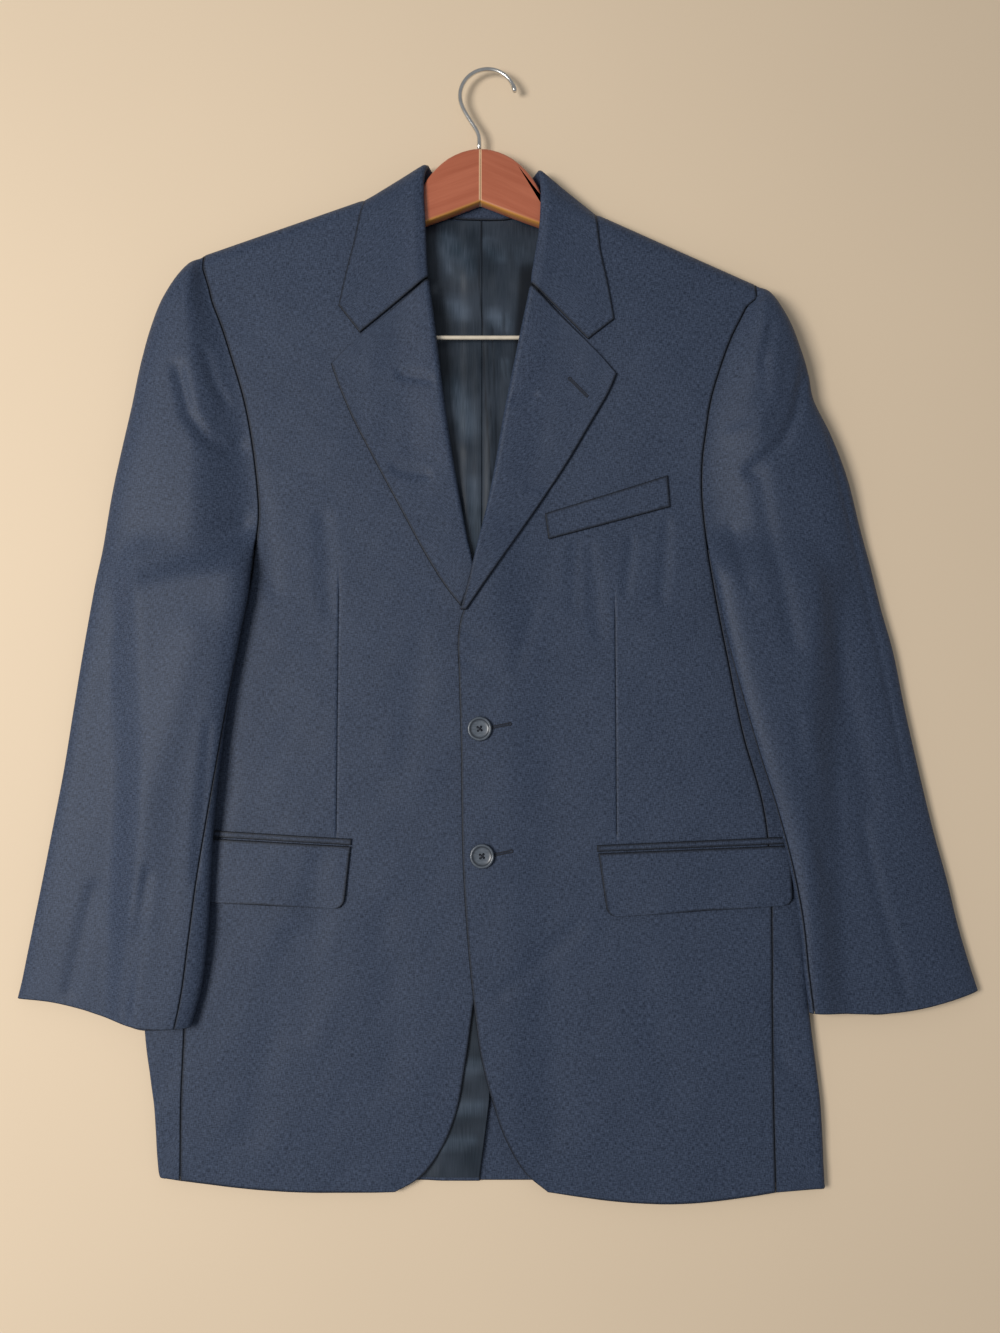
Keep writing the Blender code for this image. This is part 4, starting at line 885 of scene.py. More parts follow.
def collarSection(side, row):
    degrees = float(np.clip(row[0], 0, 180))
    turn = math.radians(degrees)
    up = math.cos(turn)
    nx, ny = earNormal[side]
    normal = np.array([nx * math.sin(turn), ny * math.sin(turn), up])
    half = level["fall"] / 2 + 0.1
    edge, fold = np.array([row[3], row[4], 0.8]), np.array([row[1], row[2], 0.0])
    seam = np.array([row[5], row[6], 0.0])
    lying = 1 - float(ease(degrees / 15))

    def over(out, y):
        return float(bodyZ(side, side * out, y))

    if degrees <= 90:
        goneY, goneZ = turned(side, edge[0], degrees)
        edgeZ = over(edge[0], edge[1]) + level["fall"]
        edge[1], edge[2] = mix(goneY, edge[1], lying), mix(goneZ, edgeZ, lying)
        fold[2] = mix(mix(turnZ, level["overHanger"] + half, up), over(fold[0] + 8, fold[1]) + half, lying)
        seam[2] = mix(mix(turnZ, level["overHanger"], up), over(seam[0] + 4, seam[1]) + 0.2, lying)
    else:
        under = float(ease((degrees - 160) / 20))
        goneY, goneZ = turned(side, edge[0], min(degrees, 179.0))
        goneZ = mix(goneZ, min(goneZ, 0.96), float(ease((degrees - 135) / 30)))
        edge[1], edge[2] = mix(goneY, edge[1], under), mix(goneZ, 0.8, under)
        fold[2] = mix(turnZ, 1.75, -up)
        seam[2] = mix(turnZ, 2.7, -up)
    inward = edge - fold
    inward[2] = 0
    inward /= np.linalg.norm(inward)
    near = fold + inward * foldNear
    fallNear = near + normal * half
    shares = np.linspace(0, 1, 24)[:-1]
    fall = edge[None] + (fallNear - edge)[None] * shares[:, None]
    width = float(np.linalg.norm(fallNear - edge))
    if lying > 0:
        rest = np.array([over(p[0], p[1]) + level["fall"] for p in fall])
        fall[:, 2] = mix(fall[:, 2], rest + (fallNear[2] - rest[-1]) * shares, lying)
    flat = max(up, 0.0)
    fall[:, 2] += 1.9 * flat * np.exp(-((1 - shares) * width / 14) ** 2) * ease((1 - shares) * 6 + 0.4)
    fallNear = fallNear + np.array([0, 0, 0.75 * flat])
    angles = np.radians(np.linspace(0, 180, 13))
    lift = np.array([0, 0, 0.4 * flat])
    arc = near + lift + (np.cos(angles)[:, None] * normal * (half + 0.4 * flat)
                         - np.sin(angles)[:, None] * inward * foldNear)
    standNear = arc[-1]
    stand = standNear[None] + (seam - standNear)[None] * np.linspace(0, 1, 8)[1:, None]
    line = np.concatenate([fall, arc, stand])
    line[:, 0] *= side
    return line


def collar():
    grid, grain = [], []
    for side in (right, left):
        curve = Curve(collarRows[side], [(1, 2), (3, 4)], [1])
        length = curve.knots[-1]
        at = np.sort(np.append(places(length, int(length / 3), 0.9, 0.4)[:-4], curve.knots[1]))
        lines = []
        for distance, row in zip(at, curve.at(at)):
            line = collarSection(side, row)
            total = alongPath(line)[-1]
            want = places(total, 66, 0.8, 0.7)
            flat = np.stack([want, np.full(len(want), side * (length - distance))], 1)
            lines.append((pick(line, want), flat))
        if side == left:
            lines = lines[::-1]
        grid += [line for line, _ in lines]
        grain += [flat for _, flat in lines]
    piece = shell("jacketCollar", grid, cloth["collarWall"], (0.8, 0.7, 0.8, 0.8), edgeShaded, np.array(grain))
    attach(piece, ["collar"])


# Sleeves: armhole or inner fold, outer fold, height of what it lies on, height of the tube,
# share of the face that the under sleeve shows, from the shoulder down

sleeveRows = {
    right: [
        (228, 749.5, 234.5, 747, 4.4, 7.0, 0), (228, 745, 241, 742, 1.2, 16, 0),
        (228, 735.3, 247.5, 733, 0, 23, 0), (223, 720, 260, 713, 0, 27, 0),
        (213, 690, 270, 688, 0, 28, 0), (203, 660, 278, 657, 0, 28, 0),
        (193, 626, 285, 620, 0, 27, 0), (187, 594, 292, 587, 1, 26, 0),
        (183, 560, 299, 554, 2.5, 24, 0), (181.5, 527, 305, 521, 6, 21, 0),
        (184, 504, 309, 498, 10.5, 18, 0), (186, 470, 315, 462, 11.8, 16, 0),
        (193, 430, 321, 423, 11.8, 15, 0), (201, 381, 328, 373, 11.8, 14, 0.012),
        (207, 330, 335, 321, 11.8, 14, 0.03), (211, 285, 343, 274, 11.8, 13, 0.05),
        (213, 240, 351, 228, 11.8, 12, 0.08), (214.5, 195, 359, 183, 11.8, 12, 0.1),
        (220, 150, 364, 155, 10.6, 12, 0.1), (227, 124, 366.5, 144, 10.2, 12, 0.09),
    ],
    left: [
        (227, 724.5, 233.5, 723, 4.4, 7.0, 0), (227, 720, 239, 718, 1.2, 16, 0),
        (227, 710, 245, 709, 0, 23, 0), (214, 694, 255, 691, 0, 27, 0),
        (206, 678, 263, 669, 0, 28, 0), (197, 654, 269, 648, 0, 28, 0),
        (189, 627, 273, 627, 0, 26, 0), (185, 602, 286, 599, 1, 26, 0),
        (182.5, 566, 300, 562, 2.5, 24, 0), (183, 530, 309, 527, 6, 21, 0),
        (186, 504, 317, 496, 10.5, 18, 0), (190, 478, 325, 458, 11.8, 16, 0),
        (197, 442, 334, 424, 11.8, 15, 0), (209, 389, 343, 375, 11.8, 14, 0.012),
        (222, 341, 352, 330, 11.8, 14, 0.015), (236, 293, 364, 275, 11.8, 13, 0.02),
        (247, 246, 374, 236, 11.8, 12, 0.025), (253, 207, 381, 203, 11.8, 12, 0.03),
        (256.5, 168, 389, 173, 10.6, 12, 0.03), (260, 135, 396, 150, 10.2, 12, 0.03),
    ],
}
sleeve = {"drop": 34.0, "backSeam": 0.74, "underTop": 5, "peek": {right: (4.5, 0.3), left: (3.5, 0.45)}}
sleeveCreases = {
    right: [
        ([(-244, 648), (-235, 612), (-222, 593), (-205, 585), (-190, 590)], 7, 2.8),
        ([(-224, 664), (-217, 640), (-208, 623)], 6, 1.8),
        ([(-191, 522), (-224, 501), (-268, 484)], 15, 3.0),
        ([(-289, 500), (-291, 437)], 10, 1.5), ([(-226, 430), (-260, 310), (-270, 215)], 20, -2.2),
        ([(-260, 245), (-276, 140)], 7, 1.8), ([(-307, 230), (-324, 150)], 9, 1.7),
        ([(-300, 400), (-318, 290)], 12, 1.4), ([(-214, 360), (-222, 240)], 6, 1.2),
    ],
    left: [
        ([(264, 648), (256, 611), (244, 588), (219, 567)], 6.5, 3.6),
        ([(240, 660), (238, 625), (224, 600), (206, 596)], 8, -1.5),
        ([(237, 686), (229, 652)], 6, 1.4),
        ([(281, 604), (300, 527), (314, 461), (326, 405), (340, 325)], 3.6, 2.0),
        ([(227, 562), (235, 510), (250, 425)], 9, 2.0), ([(275, 500), (297, 381), (312, 295)], 12, 1.9),
        ([(306, 283), (318, 222), (337, 156)], 7, 1.6), ([(252, 360), (272, 250)], 10, 1.3),
        ([(205, 520), (214, 470)], 7, 1.2),
    ],
}
lapelCreases = {
    right: [([(-66, 648), (-40, 643)], 4.5, 1.7), ([(-69, 571), (-44, 566)], 6, 1.4)],
    left: [([(22, 624), (45, 631)], 3.6, 1.9), ([(40, 555), (57, 557)], 5, 1.0)],
}


def backArmhole(side, y):
    tops = [(mix(backHemY, float(shoulderY(side, out)) - 17, share), out)
            for share, out in backOuter[:-1]]
    top = float(shoulderY(side, shoulders[side]["end"]))
    tops += [(top - 15, shoulders[side]["end"]), (top, shoulders[side]["end"])]
    return float(np.interp(y, *zip(*tops)))


armholeLines = {}
for side in (right, left):
    knots = frontCurves[side].knots
    line = frontCurves[side].at(np.linspace(knots[armpitRow], knots[-1], 90))
    top = float(shoulderY(side, shoulders[side]["end"]))
    armholeLines[side] = (np.append(line[:, 3], [top - 15, top]),
                          np.append(line[:, 2], [shoulders[side]["end"]] * 2))


def frontArmhole(side, y):
    return float(np.interp(y, *armholeLines[side]))


def cuffBow(side, share):
    # how the cuff's edge wanders from a straight cut
    if side == left:
        return -8.5 * np.sin(np.pi * share ** 1.1)
    near, far = np.sin(np.pi * share / 0.6), np.sin(np.pi * (share - 0.6) / 0.4)
    return np.where(share < 0.6, -5 * near, 2.2 * far)


def sleeveSection(side, row, toCuff=999.0):
    # the flattened tube across one row: the upper face outward, then the lower face inward
    inner, innerY, outer, outerY, base, loft, _ = row
    closed = float(ease((527 - innerY) / 50))
    seam = cloth["seam"]
    edgeOut = mix(frontArmhole(side, innerY), inner, closed)
    share = (1 - np.cos(np.pi * np.arange(81) / 80)) / 2
    face = edgeOut + seam * 2.6
    hidden = max(face, backArmhole(side, innerY) + seam * 2.6)

    def line(start):
        out = mix(start, outer, share)
        y = mix(innerY, outerY, share)
        fold = sideFold(side, np.minimum(y, armpitY))
        low = cloth["sleeveWall"] / 2 + base * (1 - ease((out - fold + 2) / sleeve["drop"]))
        return out, y, low

    tail = np.sqrt(np.maximum(0, 1 - share ** 5))
    head = np.sqrt(np.maximum(0, 1 - (1 - np.minimum(1, share / 0.16)) ** 2.4))
    out, y, low = line(face)
    half = (loft - base) * 0.42
    seamZ = float(bodyZ(side, side * (edgeOut - 1), innerY))
    crown = mix(seamZ, loft, ease(share / 0.45))
    openTop = low + half + (crown - low - half) * tail
    halfTube = loft * 0.42
    shutTop = low + halfTube + (loft - halfTube) * tail * head
    top = np.stack([out, y, mix(openTop, shutTop, closed)], 1)
    out, y, low = line(mix(hidden, face, closed))
    openLow = low + half * (1 - np.sqrt(np.maximum(0, 1 - share ** 8)))
    shutLow = low + halfTube * (1 - np.minimum(1, 1.35 * tail * head))
    under = np.stack([out, y, mix(openLow, shutLow, closed)], 1)
    fromSeam = mix(ease(share / 0.12), ease(share / 0.06), closed)
    top[:, 2] += sleeveFolds(side, side * top[:, 0], top[:, 1]) * tail * fromSeam
    nearCuff = 1 - float(ease(toCuff / 60))
    top[:, 1] += cuffBow(side, share) * nearCuff
    peek = sleeve["peek"][side]
    shown = np.exp(-((share - peek[1]) / 0.2) ** 2) * ease(share / 0.06) * ease((1 - share) / 0.04)
    under[:, 1] += (cuffBow(side, share) - peek[0] * shown) * nearCuff
    if closed > 0.995:
        under[0] = top[0]
    return top, under[::-1]


def sleeveFolds(side, x, y):
    z = 0.35 * np.sin(x * 0.05 + y * 0.013) * np.sin(y * 0.027 + side)
    for path, width, depth in sleeveCreases[side]:
        z = z + crease(x, y, path, width, depth)
    return z


def spread(points, count, near, far, bend=9.0):
    # points along a line, closer together where it bends and at both ends
    steps = np.diff(points, axis=0)
    sizes = np.maximum(np.linalg.norm(steps, axis=1), 1e-6)
    ways = steps / sizes[:, None]
    turn = np.append(0, np.arccos(np.clip((ways[1:] * ways[:-1]).sum(1), -1, 1)))
    weight = np.concatenate([[0], np.cumsum(sizes + bend * turn)])
    gone = np.concatenate([[0], np.cumsum(sizes)])
    regular = places(gone[-1], count, near, far)
    first, last = np.interp([regular[5], regular[-6]], gone, weight)
    regular[5:-5] = np.interp(np.linspace(first, last, len(regular) - 10), weight, gone)
    return pick(points, regular), regular


def cutLine(points, start, stop):
    gone = alongPath(points)
    keep = (gone > start + 1e-6) & (gone < stop - 1e-6)
    at = np.concatenate([[start], gone[keep], [stop]])
    return pick(points, at)


def sleevePieces(side):
    curve = Curve([(*row, i) for i, row in enumerate(sleeveRows[side])], [(0, 1), (2, 3)])
    length = curve.knots[-1]
    topGrid, topGrain, underGrid, underGrain = [], [], [], []
    extra = curve.knots[0] + np.array([0, 0.2, 0.6, 1.2, 2.0, 3.0, 4.2, 5.6, 7.2, 9, 11])
    at = np.sort(np.concatenate([extra, places(length, int(length / 4.2), 0.75, 0.75)[6:]]))
    start = curve.knots[sleeve["underTop"]]
    underAt = np.sort(np.concatenate([start + np.array([0, 0.1, 0.35, 0.8]), at[at > start + 1.5]]))
    for index, cuts in enumerate((at, underAt)):
        for distance, row in zip(cuts, curve.at(cuts)):
            place = row[7]
            top, under = sleeveSection(side, row[:7], length - distance)
            closed = float(ease((527 - row[1]) / 50))
            whole = np.concatenate([top, under[1:]])
            topLength, total = alongPath(top)[-1], alongPath(whole)[-1]
            width = row[2] - row[0]
            frontSeam = max(row[6], 0) * width * 1.05
            share = sleeve["backSeam"] * float(ease((place - sleeve["underTop"] + 2.5) / 6))
            if place < sleeve["underTop"]:
                share = mix(0.0, share, float(ease(place - sleeve["underTop"] + 1)))
            backSeam = topLength + (total - topLength) * (1 - share)
            seam = cloth["seam"]
            if index == 0:
                first = frontSeam + 2 * seam * closed
                line, gone = spread(cutLine(whole, first, min(backSeam - seam, total - 1e-3)), 72,
                                    cloth["seamRound"], cloth["seamRound"])
                line[:, 0] *= side
                topGrid.append(line)
                topGrain.append(np.stack([side * (gone + first), np.full(len(gone), -distance)], 1))
            else:
                line = cutLine(whole, backSeam + seam, total - 2 * seam * (1 - closed) - 1e-3)
                if frontSeam * closed > 4 * seam:
                    line = np.concatenate([line, cutLine(whole, 1e-3, frontSeam * closed - 2 * seam)[1:]])
                line, gone = spread(line, 44, cloth["seamRound"], cloth["seamRound"])
                line[:, 0] *= side
                underGrid.append(line)
                underGrain.append(np.stack([side * gone, np.full(len(gone), -distance)], 1))
    seam = cloth["seamRound"]
    for name, cadName, grid, grain in (("topSleeve", "top_sleeve", topGrid, topGrain),
                                       ("underSleeve", "under_sleeve", underGrid, underGrain)):
        piece = shell(name + ends[side], grid, cloth["sleeveWall"], (seam, seam, seam, 0.75),
                      suiting, np.array(grain))
        attach(piece, [cadName + cadEnds[side]])


# Pocket flaps, jets and the breast welt: near top, far top, far low and near low corners,
# the wall, and the radius of the lower corners or 0 where they are square

strips = {
    "pocket_flap_right": (right, (103, 264), (243, 272), (241, 221), (108, 214.5), 1.6, 8.0),
    "pocket_flap_left": (left, (95, 258.5), (248, 265), (250, 218), (102, 208), 1.6, 8.0),
    "pocket_jet_right": (right, (102.5, 270), (243, 278.5), (243, 273.2), (102.7, 265), 1.2, 0),
    "pocket_jet_left": (left, (94, 265), (246, 271.8), (246, 266.2), (94.2, 259.7), 1.2, 0),
    "breast_welt": (left, (53, 534), (153.5, 565), (155.5, 539), (56, 512.5), 1.6, 0),
}


def camelCase(name):
    first, *rest = name.split("_")
    return first + "".join(word.capitalize() for word in rest)


def strip(name):
    side, nearTop, farTop, farLow, nearLow, wall, corner = strips[name]
    nearTop, farTop, farLow, nearLow = (np.array(p, float) for p in (nearTop, farTop, farLow, nearLow))
    width, depth = np.linalg.norm(farTop - nearTop), np.linalg.norm(nearLow - nearTop)
    grid = []
    for down in places(depth, max(int(depth / 2), 12) + 6, wall / 2, wall / 2):
        t = down / depth
        a, b = nearTop + (nearLow - nearTop) * t, farTop + (farLow - farTop) * t
        inset = corner * float(roundOff(depth - down, corner)) if corner else 0.0
        share = (inset + places(width - 2 * inset, 60, wall / 2, wall / 2)) / width
        line = a[None] + (b - a)[None] * share[:, None]
        x = side * line[:, 0]
        z = bodyZ(side, x, line[:, 1]) + level["flap"]
        if corner:
            z = z + 0.9 * ease(t * 1.2 - 0.2) * (1 + np.sin(line[:, 0] * 0.09 + side)) / 2
        grid.append(np.stack([x, line[:, 1], z], 1))
    grid = np.array(grid)
    piece = shell(camelCase(name), grid, wall, (wall / 2,) * 4, edgeShaded, grid[:, :, :2])
    attach(piece, [name])


# Buttons with a rim, four holes and crossed thread

button = {"radius": 9.8, "thick": 3.2, "hole": 0.95, "holeOut": 2.0, "sides": 64}


def tube(name, path, radius, sides, material, closed=False, wide=1.0):
    # a round bar along a path of 3-D points
    path = np.array(path, float)
    count = len(path)
    if closed:
        way = np.roll(path, -1, 0) - np.roll(path, 1, 0)
    else:
        way = np.gradient(path, axis=0)
    way /= np.linalg.norm(way, axis=1, keepdims=True)
    up = np.array([0.0, 0.0, 1.0])
    across = np.cross(way, up)
    across /= np.linalg.norm(across, axis=1, keepdims=True)
    lift = np.cross(across, way)
    radius = np.broadcast_to(np.asarray(radius, float), (count,))
    turn = np.linspace(0, math.tau, sides, endpoint=False)
    ring = (path[:, None] + radius[:, None, None] * (across[:, None] * np.cos(turn)[None, :, None] * wide
                                                    + lift[:, None] * np.sin(turn)[None, :, None]))
    faces = []
    for i in range(count if closed else count - 1):
        for s in range(sides):
            a, b = i * sides, (i + 1) % count * sides
            faces.append((a + s, a + (s + 1) % sides, b + (s + 1) % sides, b + s))
    if not closed:
        faces.append(tuple(range(sides))[::-1])
        faces.append(tuple((count - 1) * sides + s for s in range(sides)))
    made = newObject(name, ring.reshape(-1, 3), faces, material)
    faceOut(made)
    return made


def faceOut(made):
    bm = bmesh.new()
    bm.from_mesh(made.data)
    bmesh.ops.recalc_face_normals(bm, faces=bm.faces)
    bm.to_mesh(made.data)
    bm.free()
    made.data.shade_smooth()


def lathe(name, profile, centre, sides, material):
    turn = np.linspace(0, math.tau, sides, endpoint=False)
    points, faces = [], []
    for out, z in profile:
        points += [(centre[0] + out * math.cos(a), centre[1] + out * math.sin(a), centre[2] + z)
                   for a in turn]
    for i in range(len(profile) - 1):
        for s in range(sides):
            faces.append((i * sides + s, i * sides + (s + 1) % sides,
                          (i + 1) * sides + (s + 1) % sides, (i + 1) * sides + s))
    faces.append(tuple(range(sides)))
    faces.append(tuple((len(profile) - 1) * sides + s for s in range(sides)))
    made = newObject(name, np.array(points, float), faces, material)
    faceOut(made)
    return made


def bake(made):
    # keeps the shape that the modifiers give
    bpy.context.view_layer.update()
    shaped = made.evaluated_get(bpy.context.evaluated_depsgraph_get())
    solid = bpy.data.meshes.new_from_object(shaped)
    made.modifiers.clear()
    made.data = solid
    return solid


def cutHoles(made, cutters):
    for index, cutter in enumerate(cutters):
        cut = made.modifiers.new(f"hole{index}", "BOOLEAN")
        cut.operation, cut.object = "DIFFERENCE", cutter
    bake(made)
    for cutter in cutters:
        bpy.data.objects.remove(cutter)


def sewnButton(name):
    x, y = buttonPlaces[name]
    r, t = button["radius"], button["thick"]
    z = float(bodyZ(left, x, y)) + cloth["frontWall"] / 2 + cloth["gap"]
    profile = [(0.4, 0.25), (r * 0.6, 0.1), (r * 0.86, t * 0.14), (r * 0.96, t * 0.34), (r, t * 0.6),
               (r * 0.985, t * 0.8), (r * 0.94, t * 0.95), (r * 0.885, t), (r * 0.83, t * 0.97),
               (r * 0.775, t * 0.84), (r * 0.72, t * 0.72), (r * 0.6, t * 0.64), (r * 0.3, t * 0.6),
               (0.4, t * 0.6)]
    made = lathe("topButton" if name == "button_upper" else "lowButton", profile, (x, y, z),
                 button["sides"], resin)
    cutters, spots = [], []
    for index in range(4):
        turn = math.radians(52 + 90 * index)
        spots.append((x + button["holeOut"] * math.cos(turn), y + button["holeOut"] * math.sin(turn)))
        cutters.append(lathe(f"cutter{index}", [(button["hole"], -2), (button["hole"], t * 2)],
                             (*spots[-1], z), 16, resin))
    cutHoles(made, cutters)
    place = placesOf(made.data)
    away = np.hypot(place[:, 0] - x, place[:, 1] - y) / r
    # painted shade: dark in the ring groove and round the button's outer edge
    dip = np.exp(-((away - 0.76) / 0.05) ** 2) + 0.8 * np.exp(-((away - 1.0) / 0.03) ** 2)
    store(made.data, "groove", np.clip(dip, 0, 0.9))
    made.data.set_sharp_from_angle(angle=math.radians(40))
    attach(made, [name])
    for index, (a, b) in enumerate(((0, 2), (1, 3))):
        start, end = np.array(spots[a]), np.array(spots[b])
        path = []
        for s in np.linspace(0, 1, 15):
            spot = start + (end - start) * (0.5 - 0.56 * math.cos(math.pi * s))
            arch = math.sin(math.pi * s)
            high = z + t * 0.6 + (0.75 + 0.35 * index) * arch ** 0.5 - 0.7 * (1 - arch)
            path.append((*spot, high))
        attach(tube(f"stitch{name[7:].capitalize()}{index}", path, 0.5, 10, thread), [])


# Keyhole buttonholes: slot end, eye end, and the side whose cloth they are in

buttonholes = {
    "buttonholeTop": (left, (8, 358.8), (24.5, 362), 0.0),
    "buttonholeLow": (left, (10, 257), (25.5, 260.3), 0.0),
    "buttonholeLapel": (left, (88, 629.5), (73.3, 644.3), 3.2),
}


def buttonhole(name):
    side, start, end, extra = buttonholes[name]
    start, end = np.array(start, float), np.array(end, float)
    length = np.linalg.norm(end - start)
    way = (end - start) / length
    across = np.array([-way[1], way[0]])
    path = []
    eye = 1.15
    for s in np.linspace(0, 1, 16):
        path.append(start + way * (length - eye * 1.6) * s + across * 0.75)
    for a in np.radians(np.linspace(145, -145, 15)):
        path.append(end + way * -eye * 0.2 + way * eye * math.cos(a) + across * eye * math.sin(a))
    for s in np.linspace(1, 0, 16):
        path.append(start + way * (length - eye * 1.6) * s - across * 0.75)
    flat = np.array(path)
    top = cloth["lapelWall"] / 2 + level["lapel"] if extra else cloth["frontWall"] / 2
    z = np.array([float(bodyZ(side, p[0], p[1])) for p in flat]) + top + 0.12
    attach(tube(name, np.column_stack([flat, z]), 0.55, 8, thread, closed=True), [])


# The hanger: two halves of wood, the hook and the trouser bar

hanger = {"lowZ": 4.9, "highZ": 16.5, "halfSpan": 208.0, "bevel": 2.3, "wireZ": 10.7,
          "hookRadius": 23.2, "hookWire": 3.6, "barWire": 3.4, "barY": 680.5, "barHalf": 184.0,
          "barBend": 8.0}
hookCentre, shank = np.array([6.0, 888.5]), (-1.0, 840.4, 853.0)


def arm(side, out, below):
    return out, float(shoulderY(side, out)) - below


def hangerArm(side):
    neck = [(0.12, 839.8), (5, 839.7), (9, 839), (15, 837.3), (21, 834.8), (27, 831.4), (32.5, 827),
            (37, 822.6), (41, 818), (44.5, 813.2), (47, 809), (49, 805), (50.5, 801), (52.5, 796),
            (55, 791)]
    topLine = [arm(side, out, 19) for out in (64, 72, 80, 90, 100, 120, 140, 160, 178, 190, 196)]
    tip = [arm(side, hanger["halfSpan"] - 6, 19.8), arm(side, hanger["halfSpan"] - 2, 22.5),
           arm(side, hanger["halfSpan"], 27), arm(side, hanger["halfSpan"] - 0.5, 32),
           arm(side, hanger["halfSpan"] - 4, 37), arm(side, 200, 40), arm(side, 196, 41)]
    lowLine = [arm(side, out, 43 - (out - 96) * 0.02) for out in (184, 160, 130, 110, 96)]
    outline = neck + topLine + tip + lowLine + [(80, arm(side, 80, 43.6)[1]), (62, 779.0), (49, 775.5),
                                                (24, 785), (0.12, 794.6)]
    outline = np.array(outline)
    outline[:, 0] *= side
    count = len(outline)
    points = [(x, y, z) for z in (hanger["lowZ"], hanger["highZ"]) for x, y in outline]
    faces = [tuple(range(count)), tuple(range(count, 2 * count))]
    faces += [(i, (i + 1) % count, count + (i + 1) % count, count + i) for i in range(count)]
    made = newObject("hangerArm" + ends[side], np.array(points), faces, cherry)
    faceOut(made)
    bevel = made.modifiers.new("bevel", "BEVEL")
    bevel.width, bevel.segments = hanger["bevel"] * mm, 4
    bevel.limit_method = "WEIGHT"
    weight = made.data.attributes.new("bevel_weight_edge", "FLOAT", "EDGE")
    for edge in made.data.edges:
        tips = [made.data.vertices[i].co / mm for i in edge.vertices]
        flat = abs(tips[0][2] - tips[1][2]) < 0.1
        joint = all(abs(tip[0] - shift[0]) < 0.3 for tip in tips)
        weight.data[edge.index].value = (0.12 if joint else 1.0) if flat else 0.0
    solid = bake(made)
    solid.shade_smooth()
    solid.set_sharp_from_angle(angle=math.radians(35))
    co = placesOf(solid) * mm
    slope = math.atan(shoulders[side]["slope"])
    lean = math.cos(slope) * co[:, 0] * side - math.sin(slope) * co[:, 1]
    rise = math.sin(slope) * co[:, 0] * side + math.cos(slope) * co[:, 1]
    store(solid, "grain", np.stack([lean + side, rise, co[:, 2]], 1))
    # distance from the centre joint, for its painted highlight
    store(solid, "toEdge", np.abs(co[:, 0]))
    # painted highlight on the bevel along the lower edge, near the middle
    out = np.abs(co[:, 0]) / mm
    lowEdge = np.interp(out, (0, 24, 49, 62), (794.6, 785, 775.5, 779.0))
    above = co[:, 1] / mm - lowEdge
    highlightMask = ease(1.2 - above / 1.6) * ease((60 - out) / 6) * (co[:, 2] / mm > hanger["highZ"] - 3.5)
    store(solid, "lowBevelHighlight", highlightMask)
    attach(made, ["hanger_arm" + cadEnds[side]])


def hook():
    points = [(shank[0], shank[1]), (shank[0], shank[2] - 6)]
    start = math.radians(202)
    first = hookCentre + hanger["hookRadius"] * np.array([math.cos(start), math.sin(start)])
    down = np.array([-math.sin(start), math.cos(start)])
    base = np.array([shank[0], shank[2] - 3])
    a, b, c, d = base, base + (0, 9), first + down * 15, first
    for t in np.linspace(0.06, 0.94, 14):
        s = 1 - t
        points.append(tuple(a * s**3 + b * 3 * t * s**2 + c * 3 * t * t * s + d * t**3))
    for degrees in np.arange(202, 4, -4.5):
        turn = math.radians(degrees)
        way = np.array([math.cos(turn), math.sin(turn)])
        points.append(tuple(hookCentre + hanger["hookRadius"] * way))
    points = np.array(points)
    radius = np.full(len(points), hanger["hookWire"] / 2)
    radius[-4:] *= (1.12, 1.22, 1.22, 0.9)
    path = np.column_stack([points, np.full(len(points), hanger["wireZ"])])
    attach(tube("hangerHook", path, radius, 24, steel), ["hanger_hook"])


def trouserBar():
    halves = []
    for side in (right, left):
        half, bend = hanger["barHalf"], hanger["barBend"]
        points = [(side * half, arm(side, half, 43)[1] + 0.4)]
        for degrees in range(180, 271, 9):
            turn = math.radians(degrees)
            points.append((side * (half - bend - bend * math.cos(turn)),
                           hanger["barY"] + bend + bend * math.sin(turn)))
        halves.append(points)
    points = np.array(halves[0] + halves[1][::-1])
    path = np.column_stack([points, np.full(len(points), hanger["wireZ"])])
    attach(tube("trouserBar", path, hanger["barWire"] / 2, 20, brass), ["trouser_bar"])


for side in (right, left):
    back(side)
    backLining(side)
    sidePanel(side)
    front(side)
    lapel(side)
    sleevePieces(side)
    hangerArm(side)
collar()
for name in strips:
    strip(name)
for name in buttonPlaces:
    sewnButton(name)
for name in buttonholes:
    buttonhole(name)
hook()
trouserBar()
print("jacket made")

# Floor, light and camera

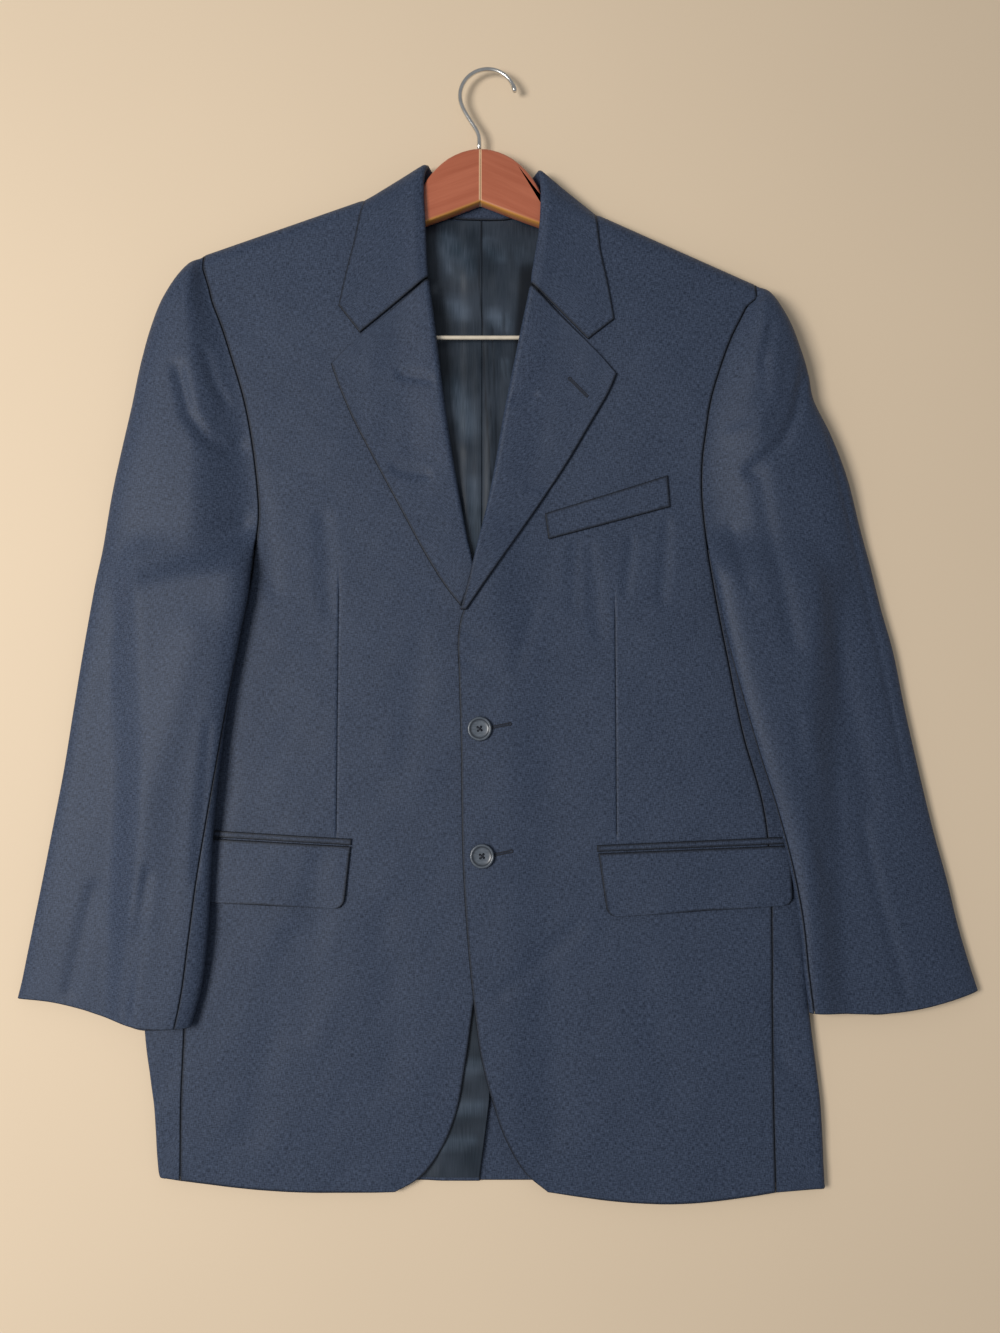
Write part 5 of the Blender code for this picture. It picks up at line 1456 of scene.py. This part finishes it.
studio = {
    "floor": (0.77, 0.615, 0.44, 1), "sky": (0.93, 0.96, 1.0, 1), "skyStrength": 0.32,
    "keyPower": 37.0, "keySize": 0.8, "keyPlace": (-1.25, -0.05, 1.75),
    "lens": 29.71, "tilt": 4.099, "eye": (0.00179, -0.10503, 0.8975),
}


def room():
    made, tree, shader = newMaterial("paleFloor", Roughness=0.75)
    place = node(tree, "ShaderNodeTexCoord").outputs["Object"]
    cloud = noise(tree, place, 3.0, 2.0)
    dull = tuple(c * 0.94 for c in studio["floor"][:3]) + (1,)
    tree.links.new(blendColours(tree, cloud, dull, studio["floor"]), shader.inputs["Base Color"])
    mesh = bpy.data.meshes.new("floor")
    corners = [(x * 4, y * 4, -0.0003) for x, y in ((-1, -1), (1, -1), (1, 1), (-1, 1))]
    mesh.from_pydata(corners, [], [(0, 1, 2, 3)])
    mesh.materials.append(made)
    floor = bpy.data.objects.new("floor", mesh)
    bpy.context.scene.collection.objects.link(floor)
    world = bpy.data.worlds.new("studio")
    bpy.context.scene.world = world
    world.use_nodes = True
    world.node_tree.nodes["Background"].inputs[0].default_value = studio["sky"]
    world.node_tree.nodes["Background"].inputs[1].default_value = studio["skyStrength"]
    data = bpy.data.lights.new("key", "AREA")
    data.energy, data.size, data.shape = studio["keyPower"], studio["keySize"], "SQUARE"
    data.color = (1.0, 0.97, 0.93)
    key = bpy.data.objects.new("key", data)
    key.location = studio["keyPlace"]
    key.rotation_euler = (-Vector(studio["keyPlace"])).to_track_quat("-Z", "Y").to_euler()
    bpy.context.scene.collection.objects.link(key)
    lens = bpy.data.cameras.new("camera")
    lens.lens, lens.sensor_width, lens.sensor_fit = studio["lens"], 36, "AUTO"
    lens.clip_start, lens.clip_end = 0.01, 100
    camera = bpy.data.objects.new("camera", lens)
    camera.location = studio["eye"]
    camera.rotation_euler = (math.radians(studio["tilt"]), 0, 0)
    bpy.context.scene.collection.objects.link(camera)
    bpy.context.scene.camera = camera
    bpy.context.scene.view_settings.view_transform = "Standard"


room()
bpy.context.view_layer.update()
print("scene ready")
